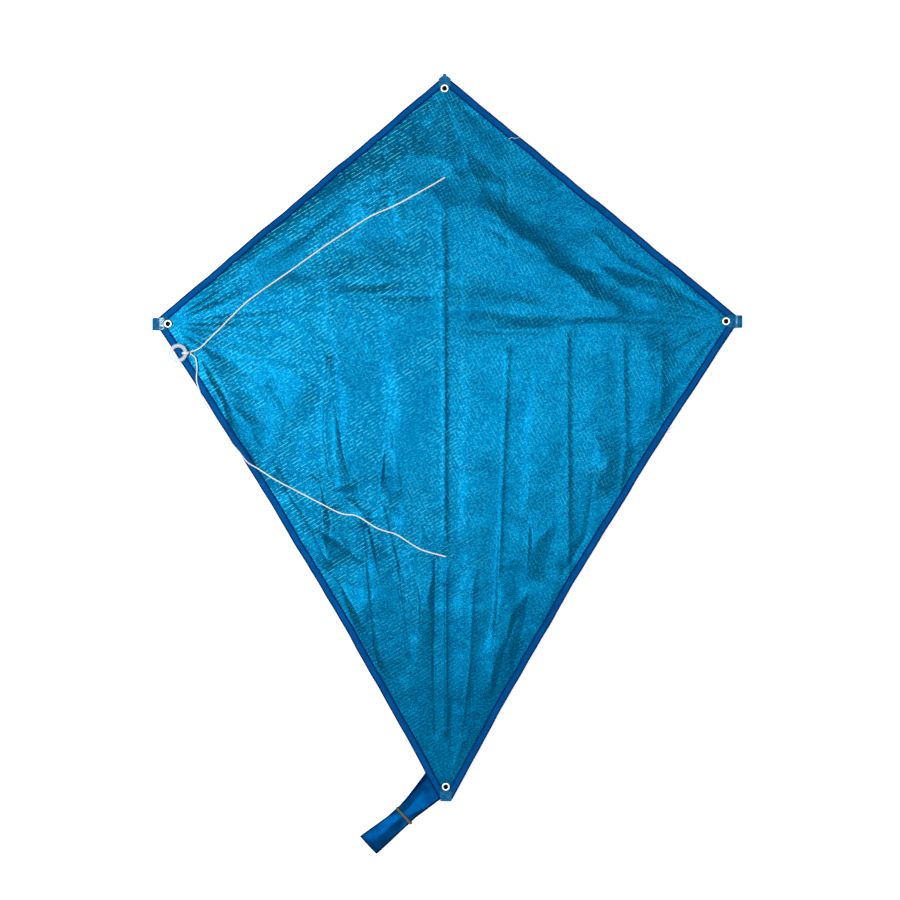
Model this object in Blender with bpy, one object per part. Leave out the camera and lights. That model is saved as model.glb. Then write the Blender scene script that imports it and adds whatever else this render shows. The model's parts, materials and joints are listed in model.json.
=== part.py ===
"""Diamond kite lying face up: cloth sail on two crossed rods, bridle with a tow ring, folded ribbon tail.

Frame: the nose points to +Y, the face (bridle side) to +Z, and the left tip to -X.  The origin is the
centre of the flat foot of the cross-spar clip, on the surface the kite lies on.
"""
import math

import bmesh
import bpy
from mathutils import Euler, Matrix, Vector

MM = 0.001
GAP = 0.3 * MM                      # clearance between neighbouring pieces

# Sail outline, measured from the crossing of the rods to the finished edge
NOSE_REACH = 245.9 * MM
TAIL_REACH = 477.2 * MM
HALF_SPAN = 294.0 * MM
TIP_RISE = 2.6 * MM                 # side tips stand this far towards the nose from the cross spar
TAIL_CUT_HALF = 6.0 * MM            # the tail corner is cut square, this far each side
LOWER_EDGE_HOLLOW = 7.9 * MM        # how far the lower edges curve in, measured across the kite
LOWER_EDGE_STEPS = 12
SAIL_THICK = 0.3 * MM

# Folded tape along every edge
TAPE_WIDTH = 7.5 * MM
TAPE_THICK = 0.3 * MM
TAPE_OVERRUN = 0.04                 # share of an edge by which its tape is made too long, then mitred

# Rods and the caps on their ends
ROD_RADIUS = 1.5 * MM
CAP_WALL = 0.5 * MM
CAP_LENGTH = 14.0 * MM
CAP_END_WALL = 1.4 * MM
CAP_PAST_EYELET = 6.0 * MM          # the cap's closed end stands this far outside the eyelet's centre

# Eyelets and the washers behind them
EYELET_NOSE_INSET = 13.2 * MM
EYELET_TAIL_INSET = 13.2 * MM
EYELET_SIDE_INSET = 14.5 * MM
EYELET_NOSE = NOSE_REACH - EYELET_NOSE_INSET
EYELET_TAIL = TAIL_REACH - EYELET_TAIL_INSET
EYELET_SIDE = HALF_SPAN - EYELET_SIDE_INSET
EYELET_HOLE_RADIUS = 2.25 * MM
EYELET_BARREL_WALL = 0.35 * MM
EYELET_FLANGE_RADIUS = 4.0 * MM
EYELET_RIM = 0.5 * MM
WASHER_THICK = 0.5 * MM

# Clear strips folded round the corners, which hold the caps
STRIP_HALF_WIDTH = 6.0 * MM
STRIP_THICK = 0.45 * MM
STRIP_FRONT_REACH = 7.0 * MM        # inwards from the eyelet's centre, on the face
STRIP_BACK_REACH = 10.0 * MM        # the same on the back
STRIP_FOLD_DEPTH = 2.4 * MM
STRIP_FOLD_START = 0.4 * MM         # the fold begins this far inside the tip
STRIP_FOLD_STEPS = 8
STRIP_TAPER = 3.0 * MM              # length over which a strip narrows to its fold
NOSE_FOLD_HALF = 1.6 * MM           # the nose strip narrows to this at its fold
TAIL_FOLD_HALF = 5.4 * MM

# Swivelling clip at the crossing
CLIP_WALL = 1.1 * MM
CLIP_LENGTH = 16.0 * MM
CLIP_WIDTH = 8.0 * MM
CLIP_EDGE = 0.5 * MM
SPIGOT_RADIUS = 2.0 * MM
SPIGOT_HEIGHT = 1.0 * MM

# Bridle
CORD_RADIUS = 0.75 * MM
TOW_UPPER = 144.0 * MM
TOW_LOWER = -234.0 * MM
TOW_LOOP_CORD = 0.55 * MM
TOW_LOOP_SIDES = 10
CORD_POINT_SPACING = 4.6 * MM
CORD_SLACK = 0.15 * MM              # the lower leg crosses the tape a little clear of it
CORD_CURVE_STEPS = 24
LAY_HALF_SPAN = 294.0 * MM          # the cords' lay is given for a kite of this half span and these reaches
LAY_NOSE_REACH = 245.9 * MM
LAY_TAIL_REACH = 477.2 * MM

# Tow ring and its knot
RING_LAY = (-268.7 * MM, -29.7 * MM)
RING_OUTER = 9.4 * MM
RING_INNER = 5.5 * MM
RING_HEIGHT = 2.6 * MM
RING_EDGE = 0.5 * MM
KNOT_CORD = 1.3 * MM
KNOT_INNER_CORNER = 0.4 * MM
KNOT_OUTER_CORNER = 1.2 * MM
KNOT_WIDTH = 3.2 * MM
PIVOT_CLEARANCE = 2.0 * MM          # the cords end this far from the knot

# Folded tail ribbon
TAIL_ANGLE = math.radians(223.0)    # direction in which the folded ribbon lies
TACK_ASIDE = 9.0 * MM               # the tack is this far left of the spine
TACK_INSET = 16.2 * MM              # and this far inside the tail corner
TACK_PLACE = Vector((-TACK_ASIDE, TACK_INSET - TAIL_REACH))
TACK_RADIUS = 1.1 * MM
TAIL_ROOT_THICK = 3.0 * MM          # thickness of the folded ribbon where it passes under the kite
TAIL_WAIST_THICK = 1.8 * MM
TAIL_WAIST_HALF = 10.2 * MM
TAIL_WAIST_PLACE = 48.0 * MM
TAIL_WAIST_FLAT = 4.0 * MM
TAIL_LOOSE_THICK = 4.4 * MM
TAIL_LOOSE_HALF = 12.7 * MM
TAIL_ROOT_HALF = 14.6 * MM
TAIL_LENGTH = 92.0 * MM
TAIL_BEHIND_TACK = 5.0 * MM
TAIL_ROOT_ROUND = 1.6 * MM          # the ribbon's end behind the tack is this much narrower each side
TAIL_FLARE_NEAR = 8.0 * MM          # past the waist the ribbon begins to open here
TAIL_FLARE_FAR = 24.0 * MM          # and is fully open here
TAIL_CORNER = 0.5 * MM
BAND_THICK = 1.0 * MM
BAND_WIDTH = 2.4 * MM
BAND_INNER_CORNER = 0.8 * MM
BAND_OUTER_CORNER = 1.4 * MM

ROUND_SIDES = 20

# Heights that follow from the sizes above
CAP_RADIUS = ROD_RADIUS + GAP + CAP_WALL
TAPE_HALF = SAIL_THICK / 2 + GAP + TAPE_THICK
SPAR_HEIGHT = STRIP_THICK + GAP + CAP_RADIUS
SPAR_CLIP_TOP = SPAR_HEIGHT + ROD_RADIUS + GAP + CLIP_WALL
SPINE_CLIP_BASE = SPAR_CLIP_TOP + GAP
SPINE_HEIGHT = SPINE_CLIP_BASE + CLIP_WALL + GAP + ROD_RADIUS
TAIL_CAP_HEIGHT = TAIL_ROOT_THICK + GAP + STRIP_THICK + GAP + CAP_RADIUS
SPINE_SLOPE = (SPINE_HEIGHT - TAIL_CAP_HEIGHT) / EYELET_TAIL
SAIL_LIFT = CAP_RADIUS + GAP + WASHER_THICK + GAP + TAPE_HALF
SAIL_FALL = (SPINE_HEIGHT - SPAR_HEIGHT) / EYELET_SIDE
WASHER_BASE = -TAPE_HALF - GAP - WASHER_THICK
STRIP_FACE = TAPE_HALF + GAP + STRIP_THICK
CORD_ON_SAIL = SAIL_THICK / 2 + GAP + CORD_RADIUS
CORD_ON_TAPE = TAPE_HALF + GAP + CORD_RADIUS


def spine_height(y):
    """Height of the spine's centre line at y."""
    return SPINE_HEIGHT + SPINE_SLOPE * y


def sail_height(x, y):
    """Height of the middle of the sail's thickness: a shallow roof with its ridge over the spine."""
    return spine_height(y) + SAIL_LIFT - SAIL_FALL * abs(x)


# ---------------------------------------------------------------- small helpers

def clear_scene():
    for old in list(bpy.data.objects):
        bpy.data.objects.remove(old, do_unlink=True)


def finish(name, color, roughness, metallic=0.0, alpha=1.0):
    material = bpy.data.materials.new(name)
    material.use_nodes = True
    shader = material.node_tree.nodes["Principled BSDF"]
    shader.inputs["Base Color"].default_value = (*color, 1.0)
    shader.inputs["Roughness"].default_value = roughness
    shader.inputs["Metallic"].default_value = metallic
    shader.inputs["Alpha"].default_value = alpha
    return material


def new_object(name, bm, material, parent=None, location=(0, 0, 0), rotation=(0, 0, 0), smooth=False):
    """Turn a bmesh into a named object, with its normals made to face out."""
    bmesh.ops.recalc_face_normals(bm, faces=bm.faces)
    mesh = bpy.data.meshes.new(name)
    bm.to_mesh(mesh)
    bm.free()
    if material:
        mesh.materials.append(material)
    if smooth:
        mesh.shade_smooth()
        mesh.set_sharp_from_angle(angle=math.radians(35))
    piece = bpy.data.objects.new(name, mesh)
    bpy.context.scene.collection.objects.link(piece)
    piece.location = location
    piece.rotation_euler = rotation
    piece.parent = parent
    return piece


def new_empty(name, location, rotation=(0, 0, 0), parent=None):
    empty = bpy.data.objects.new(name, None)
    bpy.context.scene.collection.objects.link(empty)
    empty.location = location
    empty.rotation_euler = rotation
    empty.parent = parent
    return empty


def new_cutter(name, bm, parent=None, location=(0, 0, 0), rotation=(0, 0, 0)):
    """A solid that only cuts or joins others."""
    cutter = new_object(name, bm, None, parent, location, rotation)
    cutter.hide_render = True
    cutter.display_type = "WIRE"
    return cutter


def combine(piece, other, operation):
    boolean = piece.modifiers.new(f"{operation.lower()}_{other.name}", "BOOLEAN")
    boolean.operation = operation
    boolean.solver = "EXACT"
    boolean.object = other


def cylinder(radius, low, high, sides=ROUND_SIDES):
    """A closed cylinder on the Z axis from low to high."""
    bm = bmesh.new()
    bmesh.ops.create_cone(
        bm, cap_ends=True, segments=sides, radius1=radius, radius2=radius, depth=high - low,
        matrix=Matrix.Translation((0, 0, (low + high) / 2)),
    )
    return bm


def block(size_x, size_y, low, high, edge):
    """A box standing from low to high, with its edges rounded off."""
    bm = bmesh.new()
    bmesh.ops.create_cube(bm, size=1.0)
    bmesh.ops.scale(bm, vec=(size_x, size_y, high - low), verts=bm.verts)
    bmesh.ops.translate(bm, vec=(0, 0, (low + high) / 2), verts=bm.verts)
    bmesh.ops.bevel(
        bm, geom=bm.edges[:], offset=edge, affect="EDGES", segments=2, profile=0.5, material=-1,
    )
    return bm


def turned(profile, sides=ROUND_SIDES, ring=False):
    """A shape turned about Z from (radius, height) points; a ring's profile closes on itself."""
    bm = bmesh.new()
    verts = [bm.verts.new((r, 0, z)) for r, z in profile]
    pairs = list(zip(verts, verts[1:]))
    if ring:
        pairs.append((verts[-1], verts[0]))
    edges = [bm.edges.new(pair) for pair in pairs]
    bmesh.ops.spin(
        bm, geom=verts + edges, cent=(0, 0, 0), axis=(0, 0, 1), angle=math.tau, steps=sides, use_merge=True,
    )
    bmesh.ops.remove_doubles(bm, verts=bm.verts, dist=1e-6)
    return bm


def loft(rings, closed=False):
    """A solid through rings of points; closed joins the last ring to the first."""
    bm = bmesh.new()
    loops = [[bm.verts.new(point) for point in ring] for ring in rings]
    pairs = list(zip(loops, loops[1:]))
    if closed:
        pairs.append((loops[-1], loops[0]))
    for near, far in pairs:
        for i in range(len(near)):
            j = (i + 1) % len(near)
            bm.faces.new((near[i], near[j], far[j], far[i]))
    if not closed:
        bm.faces.new(loops[0])
        bm.faces.new(loops[-1])
    return bm


def rounded_rectangle(half_wide, low, high, corner, steps=3):
    """(across, height) points round a rectangle with rounded corners."""
    points = []
    corners = ((1, 1, 0.0), (-1, 1, 0.25), (-1, -1, 0.5), (1, -1, 0.75))
    for side, top, turn in corners:
        centre_x = side * (half_wide - corner)
        centre_z = high - corner if top > 0 else low + corner
        for i in range(steps + 1):
            angle = math.tau * (turn + 0.25 * i / steps)
            points.append((centre_x + corner * math.cos(angle), centre_z + corner * math.sin(angle)))
    return points


def cut_flat(bm, place, outward):
    """Cut away what lies beyond a plane and close the cut."""
    geom = bm.verts[:] + bm.edges[:] + bm.faces[:]
    cut = bmesh.ops.bisect_plane(bm, geom=geom, dist=1e-7, plane_co=place, plane_no=outward, clear_outer=True)
    edges = [item for item in cut["geom_cut"] if isinstance(item, bmesh.types.BMEdge)]
    bmesh.ops.edgeloop_fill(bm, edges=edges)


# ---------------------------------------------------------------- sail and edge tapes

def lower_edge(t):
    """Point of the right lower edge, from the side tip (t = 0) to the tail corner (t = 1)."""
    x = HALF_SPAN + (TAIL_CUT_HALF - HALF_SPAN) * t - LOWER_EDGE_HOLLOW * 4 * t * (1 - t)
    y = TIP_RISE + (-TAIL_REACH - TIP_RISE) * t
    return Vector((x, y))


def upper_edge(t):
    """Point of the right upper edge, from the nose to the side tip."""
    return Vector((HALF_SPAN * t, NOSE_REACH + (TIP_RISE - NOSE_REACH) * t))


def inward(edge, t):
    """Unit vector across an edge, towards the sail, for edges that run clockwise."""
    step = 0.01
    along = (edge(t + step) - edge(t - step)).normalized()
    return Vector((along.y, -along.x))


def tip_mitre():
    """Direction in which the joint between the two tapes runs at the right tip."""
    return (inward(upper_edge, 1.0) + inward(lower_edge, 0.0)).normalized()


def build_sail(material, cutters):
    """One sheet, a little inside the tapes' fold, as a roof with its ridge along the spine."""
    right = [lower_edge(i / LOWER_EDGE_STEPS) for i in range(LOWER_EDGE_STEPS + 1)]
    left = [Vector((-point.x, point.y)) for point in reversed(right)]
    bm = bmesh.new()
    face = bm.faces.new([bm.verts.new((p.x, p.y, 0)) for p in [Vector((0, NOSE_REACH))] + right + left])
    face.normal_update()
    bmesh.ops.inset_individual(bm, faces=[face], thickness=TAPE_THICK + GAP, use_even_offset=True)
    bmesh.ops.delete(bm, geom=[other for other in bm.faces if other is not face], context="FACES")
    bmesh.ops.bisect_plane(
        bm, geom=bm.verts[:] + bm.edges[:] + bm.faces[:], dist=1e-7, plane_co=(0, 0, 0), plane_no=(1, 0, 0),
    )
    for vert in bm.verts:
        vert.co.z = sail_height(vert.co.x, vert.co.y) - SAIL_THICK / 2
    top = bmesh.ops.extrude_face_region(bm, geom=bm.faces[:])
    risen = [item for item in top["geom"] if isinstance(item, bmesh.types.BMVert)]
    bmesh.ops.translate(bm, vec=(0, 0, SAIL_THICK), verts=risen)
    sail = new_object("sail", bm, material)
    for cutter in cutters:
        combine(sail, cutter, "DIFFERENCE")
    return sail


def tape_profile():
    """C section of the folded tape: (inwards from the edge, height from the sail's middle)."""
    return (
        (0, -TAPE_HALF),
        (TAPE_WIDTH, -TAPE_HALF),
        (TAPE_WIDTH, -TAPE_HALF + TAPE_THICK),
        (TAPE_THICK, -TAPE_HALF + TAPE_THICK),
        (TAPE_THICK, TAPE_HALF - TAPE_THICK),
        (TAPE_WIDTH, TAPE_HALF - TAPE_THICK),
        (TAPE_WIDTH, TAPE_HALF),
        (0, TAPE_HALF),
    )


def build_tape(name, edge, stations, side, cuts, material, cutters):
    """Folded tape along one edge; side is +1 on the right and -1 on the left."""
    rings = []
    for t in stations:
        place, across = edge(t), inward(edge, t)
        ring = []
        for depth, height in tape_profile():
            x, y = place + across * depth
            ring.append((x, y, spine_height(y) + SAIL_LIFT - SAIL_FALL * x + height))
        rings.append(ring)
    bm = loft(rings)
    bmesh.ops.recalc_face_normals(bm, faces=bm.faces)
    for plane_place, outward in cuts:
        cut_flat(bm, plane_place, outward)
    if side < 0:
        bmesh.ops.scale(bm, vec=(-1, 1, 1), verts=bm.verts)
    tape = new_object(name, bm, material)
    for cutter in cutters:
        combine(tape, cutter, "DIFFERENCE")


def build_tapes(material, cutters):
    """The four tapes, mitred where they meet."""
    tip = Vector((HALF_SPAN, TIP_RISE, 0))
    mitre = tip_mitre()
    down_across = Vector((-mitre.y, mitre.x, 0))
    if down_across.y > 0:
        down_across = -down_across
    half_gap = GAP / 2
    middle = (Vector((half_gap, 0, 0)), Vector((-1, 0, 0)))
    tail_end = (Vector((0, -TAIL_REACH, 0)), Vector((0, -1, 0)))
    above_tip = (tip - down_across * half_gap, down_across)
    below_tip = (tip + down_across * half_gap, -down_across)
    inner_stations = [i / LOWER_EDGE_STEPS for i in range(1, LOWER_EDGE_STEPS)]
    lower_stations = [-TAPE_OVERRUN] + inner_stations + [1 + TAPE_OVERRUN]
    for side, word in ((1, "right"), (-1, "left")):
        build_tape(
            f"edge_tape_upper_{word}", upper_edge, (-TAPE_OVERRUN, 1 + TAPE_OVERRUN), side,
            (middle, above_tip), material, (cutters["nose"], cutters[word]),
        )
        build_tape(
            f"edge_tape_lower_{word}", lower_edge, lower_stations, side, (middle, below_tip, tail_end),
            material, (cutters["tail"], cutters[word]),
        )


# ---------------------------------------------------------------- corners

class Corner:
    """A corner's eyelet place, outward direction, tilt and distance to the sail's tip."""

    def __init__(self, name, place, turn, reach, rod_height, fold_half):
        self.name = name
        self.place = place
        self.turn = turn
        self.tip = reach
        self.rod_height = rod_height
        self.fold_half = fold_half
        outward = Vector((math.cos(turn), math.sin(turn)))
        self.front_slope = -SAIL_FALL if abs(outward.x) > 0.5 else SPINE_SLOPE * outward.y
        self.back_slope = 0.0 if abs(outward.x) > 0.5 else self.front_slope
        self.sail_height = sail_height(place.x, place.y)
        tilt = Euler((0, -math.atan(self.front_slope), 0)).to_matrix()
        self.rotation = (Matrix.Rotation(turn, 3, "Z") @ tilt).to_euler()
        self.location = (place.x, place.y, self.sail_height)


def corners():
    return (
        Corner(
            "nose", Vector((0, EYELET_NOSE)), math.pi / 2, NOSE_REACH - EYELET_NOSE,
            spine_height(EYELET_NOSE), NOSE_FOLD_HALF,
        ),
        Corner(
            "tail", Vector((0, -EYELET_TAIL)), -math.pi / 2, TAIL_REACH - EYELET_TAIL,
            spine_height(-EYELET_TAIL), TAIL_FOLD_HALF,
        ),
        Corner(
            "left", Vector((-EYELET_SIDE, 0)), math.pi, HALF_SPAN - EYELET_SIDE,
            SPAR_HEIGHT, STRIP_HALF_WIDTH,
        ),
        Corner(
            "right", Vector((EYELET_SIDE, 0)), 0.0, HALF_SPAN - EYELET_SIDE,
            SPAR_HEIGHT, STRIP_HALF_WIDTH,
        ),
    )


def strip_path(corner):
    """(outwards, height, half width) along the strip's middle: back layer, fold, face layer."""
    front = corner.sail_height + STRIP_FACE - STRIP_THICK / 2
    back = corner.rod_height - CAP_RADIUS - GAP - STRIP_THICK / 2
    start = corner.tip - STRIP_FOLD_START
    shoulder = start - STRIP_TAPER
    path = [
        (-STRIP_BACK_REACH, back - corner.back_slope * STRIP_BACK_REACH, STRIP_HALF_WIDTH),
        (shoulder, back + corner.back_slope * shoulder, STRIP_HALF_WIDTH),
    ]
    low = back + corner.back_slope * start
    high = front + corner.front_slope * start
    for i in range(STRIP_FOLD_STEPS + 1):
        angle = math.pi * (i / STRIP_FOLD_STEPS - 0.5)
        out = start + STRIP_FOLD_DEPTH * math.cos(angle)
        path.append((out, (low + high) / 2 + (high - low) / 2 * math.sin(angle), corner.fold_half))
    path += [
        (shoulder, front + corner.front_slope * shoulder, STRIP_HALF_WIDTH),
        (-STRIP_FRONT_REACH, front - corner.front_slope * STRIP_FRONT_REACH, STRIP_HALF_WIDTH),
    ]
    return path


def build_pocket(corner, material, cutter):
    """Clear strip folded round the tip; the rod's cap lies between its two layers."""
    path = strip_path(corner)
    turn = Matrix.Rotation(corner.turn, 3, "Z")
    rows = []
    for out, height, half in path:
        left = corner.place.to_3d() + turn @ Vector((out, half, 0)) + Vector((0, 0, height))
        right = corner.place.to_3d() + turn @ Vector((out, -half, 0)) + Vector((0, 0, height))
        rows.append((left, right))
    bm = bmesh.new()
    verts = [[bm.verts.new(point) for point in row] for row in rows]
    for near, far in zip(verts, verts[1:]):
        bm.faces.new((near[0], near[1], far[1], far[0]))
    pocket = new_object(f"corner_pocket_{corner.name}", bm, material)
    wall = pocket.modifiers.new("wall", "SOLIDIFY")
    wall.thickness = STRIP_THICK
    wall.offset = 0.0
    wall.use_even_offset = True
    combine(pocket, cutter, "DIFFERENCE")


def build_corner(corner, metal, clear, cutter):
    """Eyelet on the face, washer behind the sail, and the pocket strip."""
    barrel = EYELET_HOLE_RADIUS + EYELET_BARREL_WALL
    seat = STRIP_FACE + GAP
    flange = (
        (EYELET_HOLE_RADIUS, WASHER_BASE),
        (barrel, WASHER_BASE),
        (barrel, seat),
        (EYELET_FLANGE_RADIUS, seat),
        (EYELET_FLANGE_RADIUS, seat + EYELET_RIM * 0.5),
        (EYELET_FLANGE_RADIUS - EYELET_RIM * 0.6, seat + EYELET_RIM),
        (barrel, seat + EYELET_RIM),
        (EYELET_HOLE_RADIUS, seat + EYELET_RIM * 0.6),
    )
    new_object(
        f"eyelet_{corner.name}", turned(flange, ring=True), metal, None, corner.location, corner.rotation,
        smooth=True,
    )
    washer = (
        (barrel + GAP, WASHER_BASE),
        (EYELET_FLANGE_RADIUS, WASHER_BASE),
        (EYELET_FLANGE_RADIUS, WASHER_BASE + WASHER_THICK),
        (barrel + GAP, WASHER_BASE + WASHER_THICK),
    )
    new_object(
        f"eyelet_washer_{corner.name}", turned(washer, ring=True), metal, None, corner.location,
        corner.rotation, smooth=True,
    )
    build_pocket(corner, clear, cutter)


def eyelet_cutter(corner):
    """The hole through strip, tape and sail at a corner."""
    radius = EYELET_HOLE_RADIUS + EYELET_BARREL_WALL + GAP
    bm = cylinder(radius, WASHER_BASE - GAP, STRIP_FACE + GAP)
    return new_cutter(f"eyelet_hole_{corner.name}", bm, None, corner.location, corner.rotation)


# ---------------------------------------------------------------- rods, caps and clip

def cap_profile():
    depth = CAP_LENGTH - CAP_END_WALL
    bore = CAP_RADIUS - CAP_WALL
    return (
        (0, depth),
        (bore, depth),
        (bore, 0),
        (CAP_RADIUS, 0),
        (CAP_RADIUS, CAP_LENGTH - CAP_WALL),
        (CAP_RADIUS - CAP_WALL, CAP_LENGTH),
        (0, CAP_LENGTH),
    )


def build_rod(name, low_end, high_end, frame, axis_turn, cap_names, rod_material, cap_material):
    """A rod between two caps; the ends are the caps' closed faces, measured from the crossing."""
    inset = CAP_END_WALL + GAP
    new_object(
        name, cylinder(ROD_RADIUS, low_end + inset, high_end - inset), rod_material, frame,
        rotation=axis_turn, smooth=True,
    )
    to_axis = Euler(axis_turn).to_matrix()
    flip = Matrix.Rotation(math.pi, 3, "X")
    low_place = to_axis @ Vector((0, 0, low_end + CAP_LENGTH))
    high_place = to_axis @ Vector((0, 0, high_end - CAP_LENGTH))
    ends = ((cap_names[0], low_place, (to_axis @ flip).to_euler()), (cap_names[1], high_place, axis_turn))
    for cap_name, place, turn in ends:
        new_object(cap_name, turned(cap_profile()), cap_material, frame, place, turn, smooth=True)


def build_clip(plastic, spine_frame, spar_frame):
    """The two halves of the swivelling clip; the lower one has the spigot the upper one turns on."""
    bore = ROD_RADIUS + GAP
    spar_clip = new_object(
        "spar_clip", block(CLIP_LENGTH, CLIP_WIDTH, -SPAR_HEIGHT, SPAR_CLIP_TOP - SPAR_HEIGHT, CLIP_EDGE),
        plastic, spar_frame,
    )
    spar_bore = new_cutter(
        "spar_bore", cylinder(bore, -CLIP_LENGTH, CLIP_LENGTH), spar_frame, rotation=(0, math.pi / 2, 0),
    )
    spigot_top = SPAR_CLIP_TOP + SPIGOT_HEIGHT - SPAR_HEIGHT
    spigot = new_cutter(
        "spigot", cylinder(SPIGOT_RADIUS, SPAR_CLIP_TOP - SPAR_HEIGHT - CLIP_WALL / 2, spigot_top),
        spar_frame,
    )
    combine(spar_clip, spar_bore, "DIFFERENCE")
    combine(spar_clip, spigot, "UNION")

    base = SPINE_CLIP_BASE - SPINE_HEIGHT
    top = ROD_RADIUS + GAP + CLIP_WALL
    spine_clip = new_object(
        "spine_clip", block(CLIP_WIDTH, CLIP_LENGTH, base, top, CLIP_EDGE), plastic, None,
        (0, 0, SPINE_HEIGHT),
    )
    spine_bore = new_cutter(
        "spine_bore", cylinder(bore, -CLIP_LENGTH, CLIP_LENGTH), spine_frame, rotation=(math.pi / 2, 0, 0),
    )
    socket = new_cutter("spigot_socket", cylinder(SPIGOT_RADIUS + GAP, base - CLIP_WALL, 0), None,
                        (0, 0, SPINE_HEIGHT))
    combine(spine_clip, spine_bore, "DIFFERENCE")
    combine(spine_clip, socket, "DIFFERENCE")


# ---------------------------------------------------------------- bridle

def on_kite(x, y):
    """A place of the cords' lay, which moves with the outline when the kite's size changes."""
    stretch = NOSE_REACH / LAY_NOSE_REACH if y > 0 else TAIL_REACH / LAY_TAIL_REACH
    return x * HALF_SPAN / LAY_HALF_SPAN, y * stretch


def ring_centre():
    """The middle of the tow ring, in plan."""
    return Vector(on_kite(*RING_LAY))


def ring_pivot():
    """Where the cords end at the ring's knot, in plan."""
    rim = (RING_OUTER + RING_INNER) / 2
    return ring_centre() + Vector((rim + knot_outer_half() + PIVOT_CLEARANCE, 0))


def knot_outer_half():
    """Half the knot's size across the ring's rim."""
    return (RING_OUTER - RING_INNER) / 2 + GAP + KNOT_CORD


def ring_height():
    """Height of the middle of the ring, which lies on its knot over the edge tape."""
    centre = ring_centre()
    under_knot = sail_height(centre.x + RING_OUTER, centre.y) + TAPE_HALF + GAP
    return under_knot + KNOT_CORD + GAP + RING_HEIGHT / 2


def upper_route():
    """(x, y, height above the sail's middle) from the upper tow point to the ring, chosen by hand."""
    pivot = ring_pivot()
    rise = ring_height() - sail_height(pivot.x, pivot.y)
    on_sail, on_tape = CORD_ON_SAIL, CORD_ON_TAPE
    return (
        (0.0, TOW_UPPER, on_sail),
        (*on_kite(-0.016, 0.1345), on_sail),
        (*on_kite(-0.048, 0.117), on_sail),
        (*on_kite(-0.077, 0.104), on_sail),
        (*on_kite(-0.117, 0.079), on_sail),
        (*on_kite(-0.155, 0.0525), on_sail),
        (*on_kite(-0.187, 0.0305), on_sail),
        (*on_kite(-0.203, 0.018), on_sail),
        (*on_kite(-0.220, 0.0015), on_sail),
        (*on_kite(-0.234, -0.012), on_sail),
        (*on_kite(-0.2445, -0.0225), on_tape),
        (*on_kite(-0.250, -0.0265), on_tape + 1.2 * MM),
        (pivot.x, pivot.y + 2.0 * MM, rise),
    )


def lower_route():
    """(x, y, height above the sail's middle) from the ring to the lower tow point."""
    pivot = ring_pivot()
    rise = ring_height() - sail_height(pivot.x, pivot.y)
    on_sail, on_tape = CORD_ON_SAIL, CORD_ON_TAPE + CORD_SLACK
    return (
        (pivot.x, pivot.y - 0.6 * MM, rise),
        (*on_kite(-0.2515, -0.0345), on_tape + 1.0 * MM),
        (*on_kite(-0.2500, -0.044), on_tape),
        (*on_kite(-0.2505, -0.055), on_tape),
        (*on_kite(-0.2495, -0.0615), on_tape),
        (*on_kite(-0.2460, -0.0715), on_tape),
        (*on_kite(-0.2400, -0.0835), on_tape - 0.3 * MM),
        (*on_kite(-0.2310, -0.0985), on_tape - 0.5 * MM),
        (*on_kite(-0.2210, -0.1130), on_tape),
        (*on_kite(-0.2140, -0.1215), on_tape),
        (*on_kite(-0.2080, -0.1285), on_tape),
        (*on_kite(-0.1990, -0.1395), on_tape),
        (*on_kite(-0.1890, -0.1455), on_tape),
        (*on_kite(-0.1780, -0.1525), on_sail + 0.2 * MM),
        (*on_kite(-0.1690, -0.1580), on_sail),
        (*on_kite(-0.1270, -0.1800), on_sail),
        (*on_kite(-0.1040, -0.1910), on_sail),
        (*on_kite(-0.0885, -0.1935), on_sail),
        (*on_kite(-0.0675, -0.2058), on_sail),
        (*on_kite(-0.0480, -0.2125), on_sail),
        (*on_kite(-0.0250, -0.2265), on_sail),
        (0.0, TOW_LOWER, on_sail),
    )


def smooth_points(route, spacing):
    """Points at an even spacing on a smooth curve through the route's points."""
    knots = [Vector(point) for point in route]
    padded = [2 * knots[0] - knots[1]] + knots + [2 * knots[-1] - knots[-2]]
    fine = []
    for before, start, end, after in zip(padded, padded[1:], padded[2:], padded[3:]):
        for i in range(CORD_CURVE_STEPS):
            t = i / CORD_CURVE_STEPS
            fine.append(0.5 * (
                2 * start + (end - before) * t
                + (2 * before - 5 * start + 4 * end - after) * t * t
                + (3 * start - before - 3 * end + after) * t * t * t
            ))
    fine.append(knots[-1])
    lengths = [0.0]
    for near, far in zip(fine, fine[1:]):
        lengths.append(lengths[-1] + (far - near).length)
    count = max(2, round(lengths[-1] / spacing))
    points = []
    place = 0
    for i in range(count + 1):
        target = lengths[-1] * i / count
        while place < len(lengths) - 2 and lengths[place + 1] < target:
            place += 1
        share = (target - lengths[place]) / (lengths[place + 1] - lengths[place])
        points.append(fine[place].lerp(fine[place + 1], share))
    return points


def build_cord(name, route, material, frame):
    """Round cord along a route whose heights are counted from the sail."""
    lay = smooth_points(route, CORD_POINT_SPACING)
    points = [Vector((p.x, p.y, sail_height(p.x, p.y) + p.z)) for p in lay]
    curve = bpy.data.curves.new(name, "CURVE")
    curve.dimensions = "3D"
    curve.bevel_depth = CORD_RADIUS
    curve.bevel_resolution = 2
    curve.use_fill_caps = True
    spline = curve.splines.new("POLY")
    spline.points.add(len(points) - 1)
    for target, point in zip(spline.points, points):
        target.co = (*(point - frame.location), 1.0)
    curve.materials.append(material)
    cord = bpy.data.objects.new(name, curve)
    bpy.context.scene.collection.objects.link(cord)
    cord.parent = frame


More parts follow.
